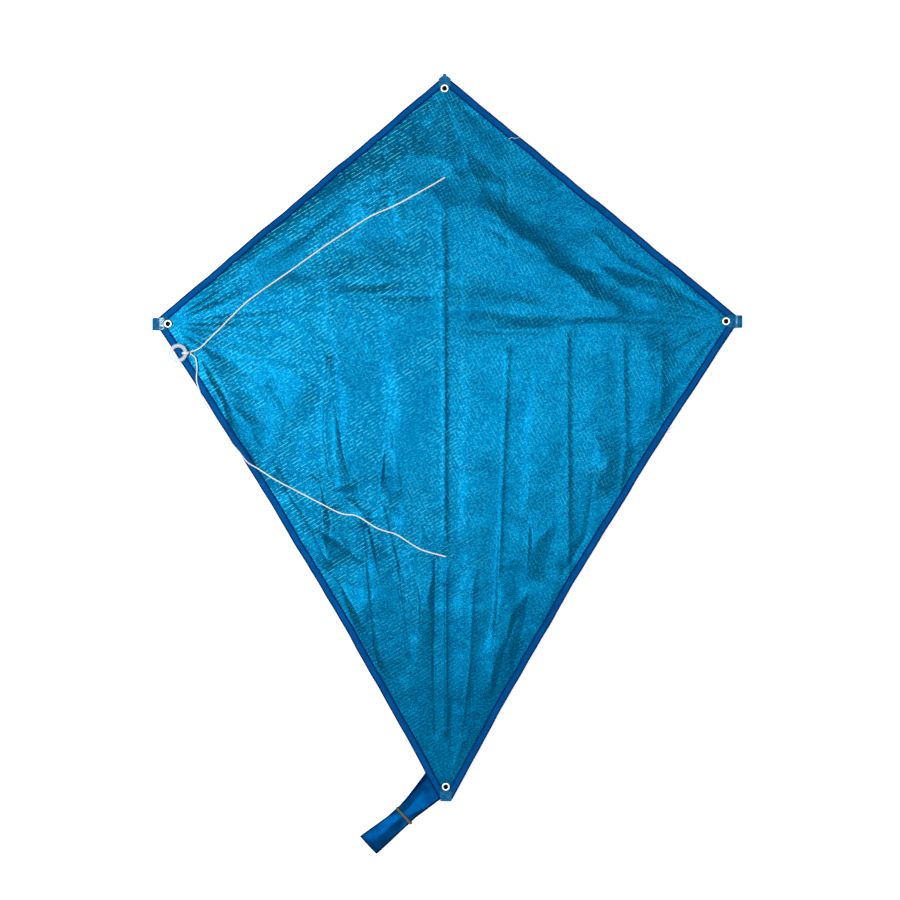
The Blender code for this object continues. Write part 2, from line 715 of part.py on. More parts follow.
def build_tow_knot(name, y, material):
    """A loop round the spine with the cord rising through the sail."""
    height = spine_height(y)
    reach = ROD_RADIUS + GAP + TOW_LOOP_CORD
    turns = [math.tau * i / TOW_LOOP_SIDES for i in range(TOW_LOOP_SIDES)]
    profile = [(reach + TOW_LOOP_CORD * math.cos(a), TOW_LOOP_CORD * math.sin(a)) for a in turns]
    knot = new_object(
        name, turned(profile, ring=True), material, None, (0, y, height), (math.pi / 2, 0, 0), smooth=True,
    )
    riser = new_cutter(
        f"{name}_riser", cylinder(CORD_RADIUS, reach, SAIL_LIFT + SAIL_THICK / 2, sides=12), None,
        (0, y, height),
    )
    combine(knot, riser, "UNION")


def tow_hole(name, y):
    """Cutter for the small hole in the sail that a tow cord rises through."""
    bm = cylinder(CORD_RADIUS + GAP, -SAIL_THICK * 3, SAIL_THICK * 3, sides=16)
    return new_cutter(f"tow_hole_{name}", bm, None, (0, y, sail_height(0, y)))


def build_ring(ring_frame, clear, cord):
    """Flat-topped ring, and the knot of cord round its rim."""
    edge = RING_EDGE
    half = RING_HEIGHT / 2
    profile = (
        (RING_INNER, -half + edge),
        (RING_INNER + edge, -half),
        (RING_OUTER - edge, -half),
        (RING_OUTER, -half + edge),
        (RING_OUTER, half - edge),
        (RING_OUTER - edge, half),
        (RING_INNER + edge, half),
        (RING_INNER, half - edge),
    )
    pivot = ring_pivot()
    centre = (ring_centre() - pivot).to_3d()
    new_object("tow_ring", turned(profile, sides=32, ring=True), clear, ring_frame, centre, smooth=True)

    rim_half = (RING_OUTER - RING_INNER) / 2
    inner = rounded_rectangle(rim_half + GAP, -half - GAP, half + GAP, KNOT_INNER_CORNER)
    reach = GAP + KNOT_CORD
    outer = rounded_rectangle(rim_half + reach, -half - reach, half + reach, KNOT_OUTER_CORNER)
    wide = KNOT_WIDTH / 2
    rings = []
    for (inner_x, inner_z), (outer_x, outer_z) in zip(inner, outer):
        rings.append((
            (inner_x, -wide, inner_z), (outer_x, -wide * 0.8, outer_z),
            (outer_x, wide * 0.8, outer_z), (inner_x, wide, inner_z),
        ))
    rim_middle = centre + Vector(((RING_OUTER + RING_INNER) / 2, 0, 0))
    new_object("ring_knot", loft(rings, closed=True), cord, ring_frame, rim_middle, smooth=True)


# ---------------------------------------------------------------- tail

def build_tail(tail_frame, cloth, rubber):
    """The folded ribbon, nipped in by a rubber band, lying on the surface under the kite's edge."""
    waist_low = BAND_THICK + GAP
    waist_high = waist_low + TAIL_WAIST_THICK
    near = TAIL_WAIST_PLACE - TAIL_WAIST_FLAT
    far = TAIL_WAIST_PLACE + TAIL_WAIST_FLAT
    stations = (
        (-TAIL_BEHIND_TACK, TAIL_ROOT_HALF - TAIL_ROOT_ROUND, 0.0, TAIL_ROOT_THICK),
        (near * 0.3, TAIL_ROOT_HALF, 0.0, TAIL_ROOT_THICK),
        (near * 0.75, TAIL_WAIST_HALF + TAIL_ROOT_ROUND, waist_low * 0.25, waist_high),
        (near, TAIL_WAIST_HALF, waist_low, waist_high),
        (far, TAIL_WAIST_HALF, waist_low, waist_high),
        (
            far + TAIL_FLARE_NEAR, (TAIL_WAIST_HALF + TAIL_LOOSE_HALF) / 2, waist_low * 0.15,
            TAIL_LOOSE_THICK * 0.86,
        ),
        (far + TAIL_FLARE_FAR, TAIL_LOOSE_HALF, 0.0, TAIL_LOOSE_THICK),
        (TAIL_LENGTH, TAIL_LOOSE_HALF, 0.0, TAIL_LOOSE_THICK),
    )
    rings = []
    for along, half, low, high in stations:
        rings.append([(along, y, z) for y, z in rounded_rectangle(half, low, high, TAIL_CORNER, steps=2)])
    ribbon = new_object("tail_ribbon", loft(rings), cloth, tail_frame)
    hole = new_cutter(
        "tack_hole", cylinder(TACK_RADIUS + GAP, -TAIL_ROOT_THICK, TAIL_ROOT_THICK * 2), tail_frame,
    )
    combine(ribbon, hole, "DIFFERENCE")

    band_half = TAIL_WAIST_HALF + GAP
    band_top = waist_high + GAP
    inner = rounded_rectangle(band_half, waist_low - GAP, band_top, BAND_INNER_CORNER)
    outer = rounded_rectangle(band_half + BAND_THICK, 0.0, band_top + BAND_THICK, BAND_OUTER_CORNER)
    wide = BAND_WIDTH / 2
    rings = []
    for (inner_y, inner_z), (outer_y, outer_z) in zip(inner, outer):
        rings.append((
            (TAIL_WAIST_PLACE - wide, inner_y, inner_z), (TAIL_WAIST_PLACE - wide, outer_y, outer_z),
            (TAIL_WAIST_PLACE + wide, outer_y, outer_z), (TAIL_WAIST_PLACE + wide, inner_y, inner_z),
        ))
    new_object("rubber_band", loft(rings, closed=True), rubber, tail_frame, smooth=True)


def build_tack(thread):
    """Thread bar from the tape's underside down through the ribbon; the tail turns on it."""
    top = sail_height(TACK_PLACE.x, TACK_PLACE.y) - TAPE_HALF - GAP
    new_object(
        "tail_tack", cylinder(TACK_RADIUS, GAP, top, sides=16), thread, None, (*TACK_PLACE, 0), smooth=True,
    )


# ---------------------------------------------------------------- the whole kite

def build():
    clear_scene()
    sail_cloth = finish("sail_cloth", (0.0, 0.20, 0.47), 0.4)
    tape_cloth = finish("tape_cloth", (0.0, 0.09, 0.36), 0.55)
    ribbon_cloth = finish("ribbon_cloth", (0.0, 0.07, 0.26), 0.5)
    clear_plastic = finish("clear_plastic", (0.75, 0.82, 0.86), 0.15, alpha=0.35)
    ring_plastic = finish("ring_plastic", (0.62, 0.66, 0.70), 0.25, alpha=0.85)
    black_vinyl = finish("black_vinyl", (0.01, 0.01, 0.012), 0.45)
    rod_glass = finish("rod_glass", (0.02, 0.02, 0.022), 0.35)
    clip_plastic = finish("clip_plastic", (0.015, 0.015, 0.017), 0.4)
    metal = finish("eyelet_metal", (0.85, 0.85, 0.86), 0.22, metallic=1.0)
    cord = finish("white_cord", (0.86, 0.87, 0.88), 0.75)
    thread = finish("tack_thread", (0.01, 0.05, 0.2), 0.7)
    rubber = finish("band_rubber", (0.28, 0.13, 0.015), 0.6)

    spine_frame = new_empty("spine_frame", (0, 0, SPINE_HEIGHT), (math.atan(SPINE_SLOPE), 0, 0))
    spar_frame = new_empty("cross_spar_axis", (0, 0, SPAR_HEIGHT))

    corner_list = corners()
    holes = {corner.name: eyelet_cutter(corner) for corner in corner_list}
    tow_holes = [tow_hole("upper", TOW_UPPER), tow_hole("lower", TOW_LOWER)]
    build_sail(sail_cloth, list(holes.values()) + tow_holes)
    build_tapes(tape_cloth, holes)
    for corner in corner_list:
        build_corner(corner, metal, clear_plastic, holes[corner.name])

    build_rod(
        "spine", -EYELET_TAIL - CAP_PAST_EYELET, EYELET_NOSE + CAP_PAST_EYELET, spine_frame,
        (-math.pi / 2, 0, 0), ("spine_cap_tail", "spine_cap_nose"), rod_glass, black_vinyl,
    )
    side_end = EYELET_SIDE + CAP_PAST_EYELET
    build_rod(
        "cross_spar", -side_end, side_end, spar_frame, (0, math.pi / 2, 0),
        ("spar_cap_left", "spar_cap_right"), rod_glass, black_vinyl,
    )
    build_clip(clip_plastic, spine_frame, spar_frame)

    tow_upper = Vector((0, TOW_UPPER, sail_height(0, TOW_UPPER) + CORD_ON_SAIL))
    bridle_frame = new_empty("bridle_axis", tow_upper)
    pivot = ring_pivot()
    ring_frame = new_empty("ring_axis", (pivot.x, pivot.y, ring_height()))
    build_tow_knot("tow_knot_upper", TOW_UPPER, cord)
    build_tow_knot("tow_knot_lower", TOW_LOWER, cord)
    build_cord("bridle_upper_leg", upper_route(), cord, bridle_frame)
    build_cord("bridle_lower_leg", lower_route(), cord, bridle_frame)
    build_ring(ring_frame, ring_plastic, cord)

    tail_frame = new_empty("tail_axis", (*TACK_PLACE, 0), (0, 0, TAIL_ANGLE))
    build_tail(tail_frame, ribbon_cloth, rubber)
    build_tack(thread)


build()
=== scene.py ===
"""Looks of the diamond kite: creased cloth sail, stitched tapes, bridle, ring and folded tail."""

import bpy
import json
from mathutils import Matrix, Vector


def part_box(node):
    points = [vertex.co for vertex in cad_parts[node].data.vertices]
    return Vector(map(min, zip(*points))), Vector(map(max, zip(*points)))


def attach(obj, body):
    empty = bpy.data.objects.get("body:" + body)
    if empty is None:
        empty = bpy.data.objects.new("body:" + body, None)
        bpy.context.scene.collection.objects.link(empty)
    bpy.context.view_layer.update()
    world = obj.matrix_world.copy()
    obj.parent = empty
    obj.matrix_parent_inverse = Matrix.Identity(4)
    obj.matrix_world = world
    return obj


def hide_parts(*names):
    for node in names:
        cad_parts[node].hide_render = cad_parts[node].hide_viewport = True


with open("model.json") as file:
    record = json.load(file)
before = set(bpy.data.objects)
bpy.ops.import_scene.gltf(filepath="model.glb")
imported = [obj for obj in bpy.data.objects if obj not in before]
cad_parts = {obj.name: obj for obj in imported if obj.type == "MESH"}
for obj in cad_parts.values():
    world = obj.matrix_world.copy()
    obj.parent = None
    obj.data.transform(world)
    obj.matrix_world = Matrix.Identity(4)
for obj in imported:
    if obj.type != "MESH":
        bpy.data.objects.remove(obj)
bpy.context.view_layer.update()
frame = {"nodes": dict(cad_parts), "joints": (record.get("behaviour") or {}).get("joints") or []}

import json
import logging
import math
from collections.abc import Callable
from dataclasses import dataclass, field
from enum import Enum

import bmesh
import bpy
import numpy as np
from mathutils import Matrix, Vector

LOG = logging.getLogger("kite")
MM = 0.001
Point = tuple[float, float, float]
Pair = tuple[float, float]
Colour = tuple[float, float, float]
Surface = Callable[[np.ndarray, np.ndarray], tuple[np.ndarray, np.ndarray, np.ndarray]]


class Side(Enum):
    """Which half of the kite a piece is on."""

    RIGHT = 1
    LEFT = -1


# ------------------------------------------------------------------ mesh tools

def plain_grid(columns: int, rows: int) -> tuple[bmesh.types.BMesh, np.ndarray, np.ndarray]:
    """Make a flat grid to be shaped.

    Args:
        columns: faces across, along u.
        rows: faces along, along v.

    Returns:
        The bmesh, and each vertex's u and v from 0 to 1.
    """
    bm = bmesh.new()
    bmesh.ops.create_grid(bm, x_segments=columns, y_segments=rows, size=0.5)
    flat = np.array([vert.co[:2] for vert in bm.verts])
    return bm, flat[:, 0] + 0.5, flat[:, 1] + 0.5


def finish_piece(name: str, bm: bmesh.types.BMesh, sharp: float = 40.0) -> bpy.types.Object:
    """Turn a bmesh into an object at the origin, shaded smooth but for its sharp edges.

    Args:
        name: the piece's name.
        bm: its mesh, in the kite's own frame; it is freed.
        sharp: edges bent by more than this many degrees stay sharp.

    Returns:
        The new object.
    """
    mesh = bpy.data.meshes.new(name)
    bm.to_mesh(mesh)
    bm.free()
    mesh.shade_smooth()
    mesh.set_sharp_from_angle(angle=math.radians(sharp))
    piece = bpy.data.objects.new(name, mesh)
    bpy.context.scene.collection.objects.link(piece)
    return piece


def shaped(
    name: str, columns: int, rows: int, surface: Surface, closed: bool = False, across: bool = False,
) -> bpy.types.Object:
    """Bend a grid into a surface.

    Args:
        name: the piece's name.
        columns: faces along u.
        rows: faces along v.
        surface: gives x, y and z from u and v.
        closed: whether edges that meet are joined and the shell's normals turned outwards.
        across: whether the mesh keeps u and v as attributes for its material.

    Returns:
        The new object.
    """
    bm, u, v = plain_grid(columns, rows)
    if across:
        for label, values in (("across", u), ("along", v)):
            layer = bm.verts.layers.float.new(label)
            for vert, value in zip(bm.verts, values):
                vert[layer] = value
    for vert, x, y, z in zip(bm.verts, *surface(u, v)):
        vert.co = (x, y, z)
    if closed:
        bmesh.ops.remove_doubles(bm, verts=bm.verts, dist=1e-6)
        open_edges = [edge for edge in bm.edges if edge.is_boundary]
        if open_edges:
            bmesh.ops.holes_fill(bm, edges=open_edges)
        bmesh.ops.recalc_face_normals(bm, faces=bm.faces)
    return finish_piece(name, bm)


def carried_frames(path: np.ndarray, closed: bool) -> tuple[np.ndarray, np.ndarray]:
    """Two unit vectors across a path at each point, turned as little as the path allows.

    Args:
        path: points, one a row.
        closed: whether the last point is the first again.

    Returns:
        The side vectors and the up vectors.
    """
    if closed:
        ring = path[:-1]
        along = np.roll(ring, -1, axis=0) - np.roll(ring, 1, axis=0)
        along = np.vstack([along, along[:1]])
    else:
        along = np.gradient(path, axis=0)
    along /= np.linalg.norm(along, axis=1)[:, None]
    start = np.array([0.0, 0.0, 1.0]) if abs(along[0][2]) < 0.9 else np.array([1.0, 0.0, 0.0])
    ups = []
    up = start
    for direction in along:
        up = up - direction * np.dot(up, direction)
        up /= np.linalg.norm(up)
        ups.append(up)
    rise = np.array(ups)
    return np.cross(along, rise), rise


def swept(
    name: str, path: np.ndarray, section: Callable[[np.ndarray, np.ndarray], tuple[np.ndarray, np.ndarray]],
    sides: int, closed: bool = False,
) -> bpy.types.Object:
    """A tube whose outline may change along its path.

    Args:
        name: the piece's name.
        path: points, one a row.
        section: gives the offsets to the side and up from the turn (0 to 1) and the distance along.
        sides: faces round the tube.
        closed: whether the path ends where it starts.

    Returns:
        The new object.
    """
    side, rise = carried_frames(path, closed)
    steps = np.linalg.norm(np.diff(path, axis=0), axis=1)
    distance = np.concatenate([[0.0], np.cumsum(steps)])
    rows = len(path) - 1

    def surface(u: np.ndarray, v: np.ndarray) -> tuple[np.ndarray, np.ndarray, np.ndarray]:
        """Place the tube's points."""
        place = np.rint(v * rows).astype(int)
        out, up = section(u, distance[place])
        spot = path[place] + side[place] * out[:, None] + rise[place] * up[:, None]
        return spot[:, 0], spot[:, 1], spot[:, 2]

    return shaped(name, sides, rows, surface, closed=True)


def turned(name: str, profile: list[Pair], steps: int, place: Matrix, ring: bool = False) -> bpy.types.Object:
    """Turn a profile of (radius, height) points round an axis.

    Args:
        name: the piece's name.
        profile: the points.
        steps: faces round the piece.
        place: puts the Z axis where the piece's axis is.
        ring: whether the profile closes on itself.

    Returns:
        The new object.
    """
    bm = bmesh.new()
    verts = [bm.verts.new((radius, 0, height)) for radius, height in profile]
    pairs = list(zip(verts, verts[1:])) + ([(verts[-1], verts[0])] if ring else [])
    edges = [bm.edges.new(pair) for pair in pairs]
    bmesh.ops.spin(
        bm, geom=verts + edges, cent=(0, 0, 0), axis=(0, 0, 1), angle=math.tau, steps=steps, use_merge=True,
    )
    bmesh.ops.remove_doubles(bm, verts=bm.verts, dist=1e-6)
    bmesh.ops.recalc_face_normals(bm, faces=bm.faces)
    bmesh.ops.transform(bm, matrix=place, verts=bm.verts)
    return finish_piece(name, bm)


def rounded_corner(centre: Pair, radius: float, start: float, steps: int = 5) -> list[Pair]:
    """Points of a quarter round, from start degrees on, anticlockwise."""
    angles = [math.radians(start + 90 * i / steps) for i in range(steps + 1)]
    return [(centre[0] + radius * math.cos(a), centre[1] + radius * math.sin(a)) for a in angles]


def rounded_loop(half_wide: float, low: float, high: float, corner: float) -> list[Pair]:
    """(across, height) points round a rectangle with round corners."""
    right, left = half_wide - corner, corner - half_wide
    top, base = high - corner, low + corner
    return (
        rounded_corner((right, top), corner, 0) + rounded_corner((left, top), corner, 90)
        + rounded_corner((left, base), corner, 180) + rounded_corner((right, base), corner, 270)
    )


def even_path(route: list[Point], spacing: float) -> np.ndarray:
    """Evenly spaced points on a smooth curve through a route's points.

    Args:
        route: the points, in order.
        spacing: the distance wanted between the new points.

    Returns:
        The new points, one a row.
    """
    knots = np.array(route)
    padded = np.vstack([2 * knots[0] - knots[1], knots, 2 * knots[-1] - knots[-2]])
    fine = []
    for before, start, end, after in zip(padded, padded[1:], padded[2:], padded[3:]):
        t = np.linspace(0, 1, 24, endpoint=False)[:, None]
        fine.append(0.5 * (
            2 * start + (end - before) * t + (2 * before - 5 * start + 4 * end - after) * t**2
            + (3 * start - before - 3 * end + after) * t**3
        ))
    curve = np.vstack(fine + [knots[-1:]])
    distance = np.concatenate([[0.0], np.cumsum(np.linalg.norm(np.diff(curve, axis=0), axis=1))])
    wanted = np.linspace(0, distance[-1], max(2, round(distance[-1] / spacing)) + 1)
    return np.column_stack([np.interp(wanted, distance, curve[:, i]) for i in range(curve.shape[1])])


def set_finish(piece: bpy.types.Object, material: bpy.types.Material) -> None:
    """Give a piece one material."""
    piece.data.materials.clear()
    piece.data.materials.append(material)


# ------------------------------------------------------------------ finishes

class Graph:
    """A material's nodes, added one call at a time."""

    def __init__(self, name: str, colour: Colour, roughness: float, metallic: float = 0.0) -> None:
        """Start a material from its plain values.

        Args:
            name: the material's name.
            colour: base colour, linear.
            roughness: base roughness.
            metallic: 1 for metal.
        """
        self.material = bpy.data.materials.new(name)
        self.material.use_nodes = True
        self.tree = self.material.node_tree
        self.shader = self.tree.nodes["Principled BSDF"]
        self.constant("Base Color", (*colour, 1.0))
        self.constant("Roughness", roughness)
        self.constant("Metallic", metallic)

    def constant(self, socket: str, value: float | tuple) -> None:
        """Set one of the shader's own values."""
        self.shader.inputs[socket].default_value = value

    def node(self, kind: str, **settings: object) -> bpy.types.Node:
        """Add a node and set its properties."""
        node = self.tree.nodes.new(kind)
        for key, value in settings.items():
            setattr(node, key, value)
        return node

    def feed(self, target: bpy.types.NodeSocket, source: object) -> None:
        """Give an input a value or another node's output."""
        if isinstance(source, bpy.types.NodeSocket):
            self.tree.links.new(source, target)
        else:
            target.default_value = source

    def object_point(self) -> bpy.types.NodeSocket:
        """The surface point in the kite's own frame."""
        return self.node("ShaderNodeTexCoord").outputs["Object"]

    def attribute(self, name: str) -> bpy.types.NodeSocket:
        """A value that the mesh carries."""
        return self.node("ShaderNodeAttribute", attribute_name=name).outputs["Fac"]

    def mapped(self, vector: object, scale: Point, turn: float = 0.0) -> bpy.types.NodeSocket:
        """A point turned about Z, in degrees, then scaled."""
        spun = self.node("ShaderNodeVectorRotate", rotation_type="Z_AXIS")
        self.feed(spun.inputs["Vector"], vector)
        self.feed(spun.inputs["Angle"], math.radians(-turn))
        sized = self.node("ShaderNodeVectorMath", operation="MULTIPLY")
        self.feed(sized.inputs[0], spun.outputs["Vector"])
        self.feed(sized.inputs[1], scale)
        return sized.outputs["Vector"]

    def part(self, vector: object, axis: str) -> bpy.types.NodeSocket:
        """One coordinate of a vector."""
        split = self.node("ShaderNodeSeparateXYZ")
        self.feed(split.inputs[0], vector)
        return split.outputs[axis]

    def noise(
        self, vector: object, scale: float, detail: float = 3.0, roughness: float = 0.5,
    ) -> bpy.types.NodeSocket:
        """Cloudy noise from 0 to 1."""
        node = self.node("ShaderNodeTexNoise")
        self.feed(node.inputs["Vector"], vector)
        self.feed(node.inputs["Scale"], scale)
        self.feed(node.inputs["Detail"], detail)
        self.feed(node.inputs["Roughness"], roughness)
        return node.outputs["Fac"]

    def maths(self, operation: str, first: object, second: object = 0.0) -> bpy.types.NodeSocket:
        """A sum, product or other step on two values."""
        node = self.node("ShaderNodeMath", operation=operation)
        self.feed(node.inputs[0], first)
        self.feed(node.inputs[1], second)
        return node.outputs[0]

    def ranged(
        self, value: object, low: float, high: float, to_low: float = 0.0, to_high: float = 1.0,
    ) -> bpy.types.NodeSocket:
        """A value mapped smoothly from one range to another, and held inside it."""
        node = self.node("ShaderNodeMapRange", interpolation_type="SMOOTHSTEP")
        self.feed(node.inputs["Value"], value)
        for key, number in (("From Min", low), ("From Max", high), ("To Min", to_low), ("To Max", to_high)):
            self.feed(node.inputs[key], number)
        return node.outputs["Result"]

    def blend(self, factor: object, first: object, second: object) -> bpy.types.NodeSocket:
        """Two colours mixed."""
        node = self.node("ShaderNodeMix", data_type="RGBA")
        self.feed(node.inputs["Factor"], factor)
        self.feed(node.inputs[6], first)
        self.feed(node.inputs[7], second)
        return node.outputs[2]

    def threads(self, point: object, turn: float, pitch: float, width: float) -> bpy.types.NodeSocket:
        """1 along the middle of parallel threads, 0 between them."""
        place = self.part(self.mapped(point, (1, 1, 1), turn), "Y")
        away = self.maths("PINGPONG", place, pitch / 2)
        return self.ranged(away, 0.0, width, 1.0, 0.0)

    def bump(
        self, height: object, strength: float, distance: float, normal: object = None,
    ) -> bpy.types.NodeSocket:
        """A normal tipped by a height."""
        node = self.node("ShaderNodeBump")
        self.feed(node.inputs["Height"], height)
        node.inputs["Strength"].default_value = strength
        node.inputs["Distance"].default_value = distance
        if normal is not None:
            self.feed(node.inputs["Normal"], normal)
        return node.outputs["Normal"]

    def product(self, first: object, second: object) -> bpy.types.NodeSocket:
        """Two values multiplied."""
        return self.maths("MULTIPLY", first, second)

    def into(self, socket: str, source: object) -> None:
        """Feed the shader."""
        self.feed(self.shader.inputs[socket], source)


@dataclass(frozen=True)
class SailCloth:
    """Thin glossy polyester with thick reinforcing threads in two directions, with painted thread glints."""

    shade: Colour = (0.0, 0.048, 0.132)
    bright: Colour = (0.0, 0.115, 0.240)
    glint: Colour = (0.09, 0.80, 0.92)
    dull_glint: Colour = (0.005, 0.25, 0.38)
    spark: Colour = (0.0, 0.215, 0.37)
    pit: Colour = (0.0, 0.022, 0.085)
    turn: float = 31.0
    pitch: float = 3.5 * MM
    thread: float = 0.38 * MM
    dash: float = 4.2 * MM
    sheen: float = 0.68

    def lines(self, graph: Graph, point: object, turn: float, seed: float) -> tuple[object, object]:
        """Threads in one direction.

        Args:
            graph: the material's nodes.
            point: the surface point.
            turn: the threads' direction in degrees.
            seed: shifts the places where they shine.

        Returns:
            The threads' height, and the mask of their painted glints.
        """
        warp = graph.threads(point, turn, self.pitch, self.thread)
        along = graph.mapped(point, (1 / self.dash, 2.2 / self.pitch, seed), turn)
        dashes = graph.ranged(graph.noise(along, 1.0, 1.0), 0.46, 0.57)
        patches = graph.ranged(graph.noise(point, 16.0 + seed, 3.0, 0.6), 0.36, 0.58, 0.20, 1.0)
        return warp, graph.product(graph.product(warp, dashes), patches)

    def make(self) -> bpy.types.Material:
        """Build the material."""
        graph = Graph("sail_cloth", self.shade, 0.38, self.sheen)
        point = graph.object_point()
        clouds = graph.noise(point, 24.0, 4.0, 0.6)
        grain = graph.noise(graph.mapped(point, (1.0, 1.7, 1.0)), 560.0, 2.0, 0.8)
        # Painted highlight: thread glints are strongest on the left half, towards the key lamp.
        left = graph.ranged(graph.part(point, "X"), -0.06, 0.06, 1.0, 0.45)
        rising, bright_rising = self.lines(graph, point, self.turn, 0.0)
        falling, bright_falling = self.lines(graph, point, self.turn - 94.0, 7.0)
        right = graph.maths("SUBTRACT", 0.95, graph.product(left, 0.8))
        rising_share, falling_share = graph.product(bright_rising, left), graph.product(bright_falling, right)
        painted_glints = graph.maths("MAXIMUM", rising_share, falling_share)
        patchy = graph.ranged(clouds, 0.25, 0.75, 0.35, 0.65)
        colour = graph.blend(patchy, (*self.shade, 1), (*self.bright, 1))
        sparks = graph.ranged(grain, 0.50, 0.68, 0.0, 0.85)
        colour = graph.blend(sparks, colour, (*self.spark, 1))
        pits = graph.ranged(grain, 0.33, 0.47, 0.75, 0.0)
        colour = graph.blend(pits, colour, (*self.pit, 1))
        # The painted highlight fades out towards the tail.
        low = graph.ranged(graph.part(point, "Y"), -0.40, -0.12, 0.10, 1.0)
        painted_glints = graph.product(painted_glints, low)
        # Painted highlight: the thread glints are mixed into the base colour, duller on the right.
        tint = graph.blend(left, (*self.dull_glint, 1), (*self.glint, 1))
        graph.into("Base Color", graph.blend(graph.product(painted_glints, 0.95), colour, tint))
        graph.into("Roughness", graph.ranged(clouds, 0.2, 0.8, 0.42, 0.37))
        graph.into("Metallic", graph.product(graph.maths("SUBTRACT", 1.0, painted_glints), self.sheen))
        graph.constant("Specular IOR Level", 0.0)
        normal = graph.bump(self.crumple(graph, point), 0.42, 1.0 * MM)
        threads = graph.maths("MAXIMUM", rising, falling)
        normal = graph.bump(threads, 0.5, 0.10 * MM, normal)
        graph.into("Normal", graph.bump(grain, 0.6, 0.10 * MM, normal))
        return graph.material

    def crumple(self, graph: Graph, point: object) -> bpy.types.NodeSocket:
        """Height of the small crumples that handling leaves."""
        cells = graph.node("ShaderNodeTexVoronoi", feature="SMOOTH_F1")
        warped = graph.node("ShaderNodeVectorMath", operation="ADD")
        drift = graph.node("ShaderNodeTexNoise")
        graph.feed(drift.inputs["Vector"], point)
        graph.feed(drift.inputs["Scale"], 30.0)
        small = graph.mapped(drift.outputs["Color"], (0.03, 0.03, 0.0))
        graph.feed(warped.inputs[0], point)
        graph.feed(warped.inputs[1], small)
        graph.feed(cells.inputs["Vector"], warped.outputs["Vector"])
        graph.feed(cells.inputs["Scale"], 58.0)
        graph.feed(cells.inputs["Smoothness"], 0.25)
        soft = graph.noise(point, 42.0, 5.0, 0.55)
        return graph.maths("ADD", cells.outputs["Distance"], soft)


@dataclass(frozen=True)
class TapeCloth:
    """Satin binding tape, with painted shade along its edges and its fold."""

    name: str = "tape_cloth"
    colour: Colour = (0.0, 0.066, 0.225)
    patch: Colour = (0.0, 0.050, 0.180)
    # edge: colour of the painted shade along the tape's edges and fold.
    edge: Colour = (0.0, 0.016, 0.090)
    rib: float = 0.6 * MM

    def make(self) -> bpy.types.Material:
        """Build the material."""
        graph = Graph(self.name, self.colour, 0.5, 0.3)
        point = graph.object_point()
        clouds = graph.noise(point, 60.0, 3.0)
        base = graph.blend(graph.ranged(clouds, 0.3, 0.7), (*self.colour, 1), (*self.patch, 1))
        across = graph.attribute("across")
        # Painted shade: dark lines along both edges of the tape and along its outer fold.
        middle = graph.maths("PINGPONG", across, 0.5)
        rim = graph.ranged(middle, 0.07, 0.13, 1.0, 0.0)
        fold = graph.ranged(middle, 0.335, 0.385, 0.0, 1.0)
        painted_edge_shade = graph.maths("MAXIMUM", rim, fold)
        graph.into("Base Color", graph.blend(painted_edge_shade, base, (*self.edge, 1)))
        graph.constant("Specular IOR Level", 0.0)
        ribs = graph.threads(point, 30.0, self.rib, self.rib * 0.4)
        cross = graph.threads(point, -60.0, self.rib, self.rib * 0.4)
        weave = graph.maths("ADD", ribs, cross)
        normal = graph.bump(weave, 0.4, 0.06 * MM)
        graph.into("Normal", graph.bump(graph.noise(point, 160.0, 3.0), 0.4, 0.5 * MM, normal))
        return graph.material


@dataclass(frozen=True)
class PlainCloth:
    """Ribbon, cord or thread: a fine weave with a soft sheen."""

    name: str
    colour: Colour
    second: Colour
    weave: float
    roughness: float = 0.6
    turn: float = 0.0
    sheen: float = 0.35
    metallic: float = 0.0
    # edge and rim: the share of the width and the colour of the painted shade along a ribbon's edges.
    edge: float = 0.0
    rim: Colour = (0.0, 0.008, 0.055)

    def make(self) -> bpy.types.Material:
        """Build the material; a ribbon's edge gets painted shade over the share `edge` of its width."""
        graph = Graph(self.name, self.colour, self.roughness, self.metallic)
        point = graph.object_point()
        clouds = graph.noise(point, 70.0, 4.0, 0.6)
        colour = graph.blend(graph.ranged(clouds, 0.3, 0.7), (*self.colour, 1), (*self.second, 1))
        # Painted shade: a dark line along both edges of the ribbon.
        if self.edge > 0:
            inside = graph.maths("PINGPONG", graph.attribute("across"), 0.5)
            share = graph.ranged(inside, self.edge, self.edge * 1.6, 1.0, 0.0)
            colour = graph.blend(share, colour, (*self.rim, 1))
        graph.into("Base Color", colour)
        graph.constant("Sheen Weight", self.sheen)
        graph.constant("Sheen Roughness", 0.4)
        graph.constant("Specular IOR Level", self.sheen)
        warp = graph.threads(point, self.turn, self.weave, self.weave * 0.45)
        weft = graph.threads(point, self.turn + 90.0, self.weave, self.weave * 0.45)
        normal = graph.bump(graph.maths("ADD", warp, weft), 0.4, 0.05 * MM)
        graph.into("Normal", graph.bump(graph.noise(point, 2200.0, 2.0), 0.4, 0.08 * MM, normal))
        return graph.material


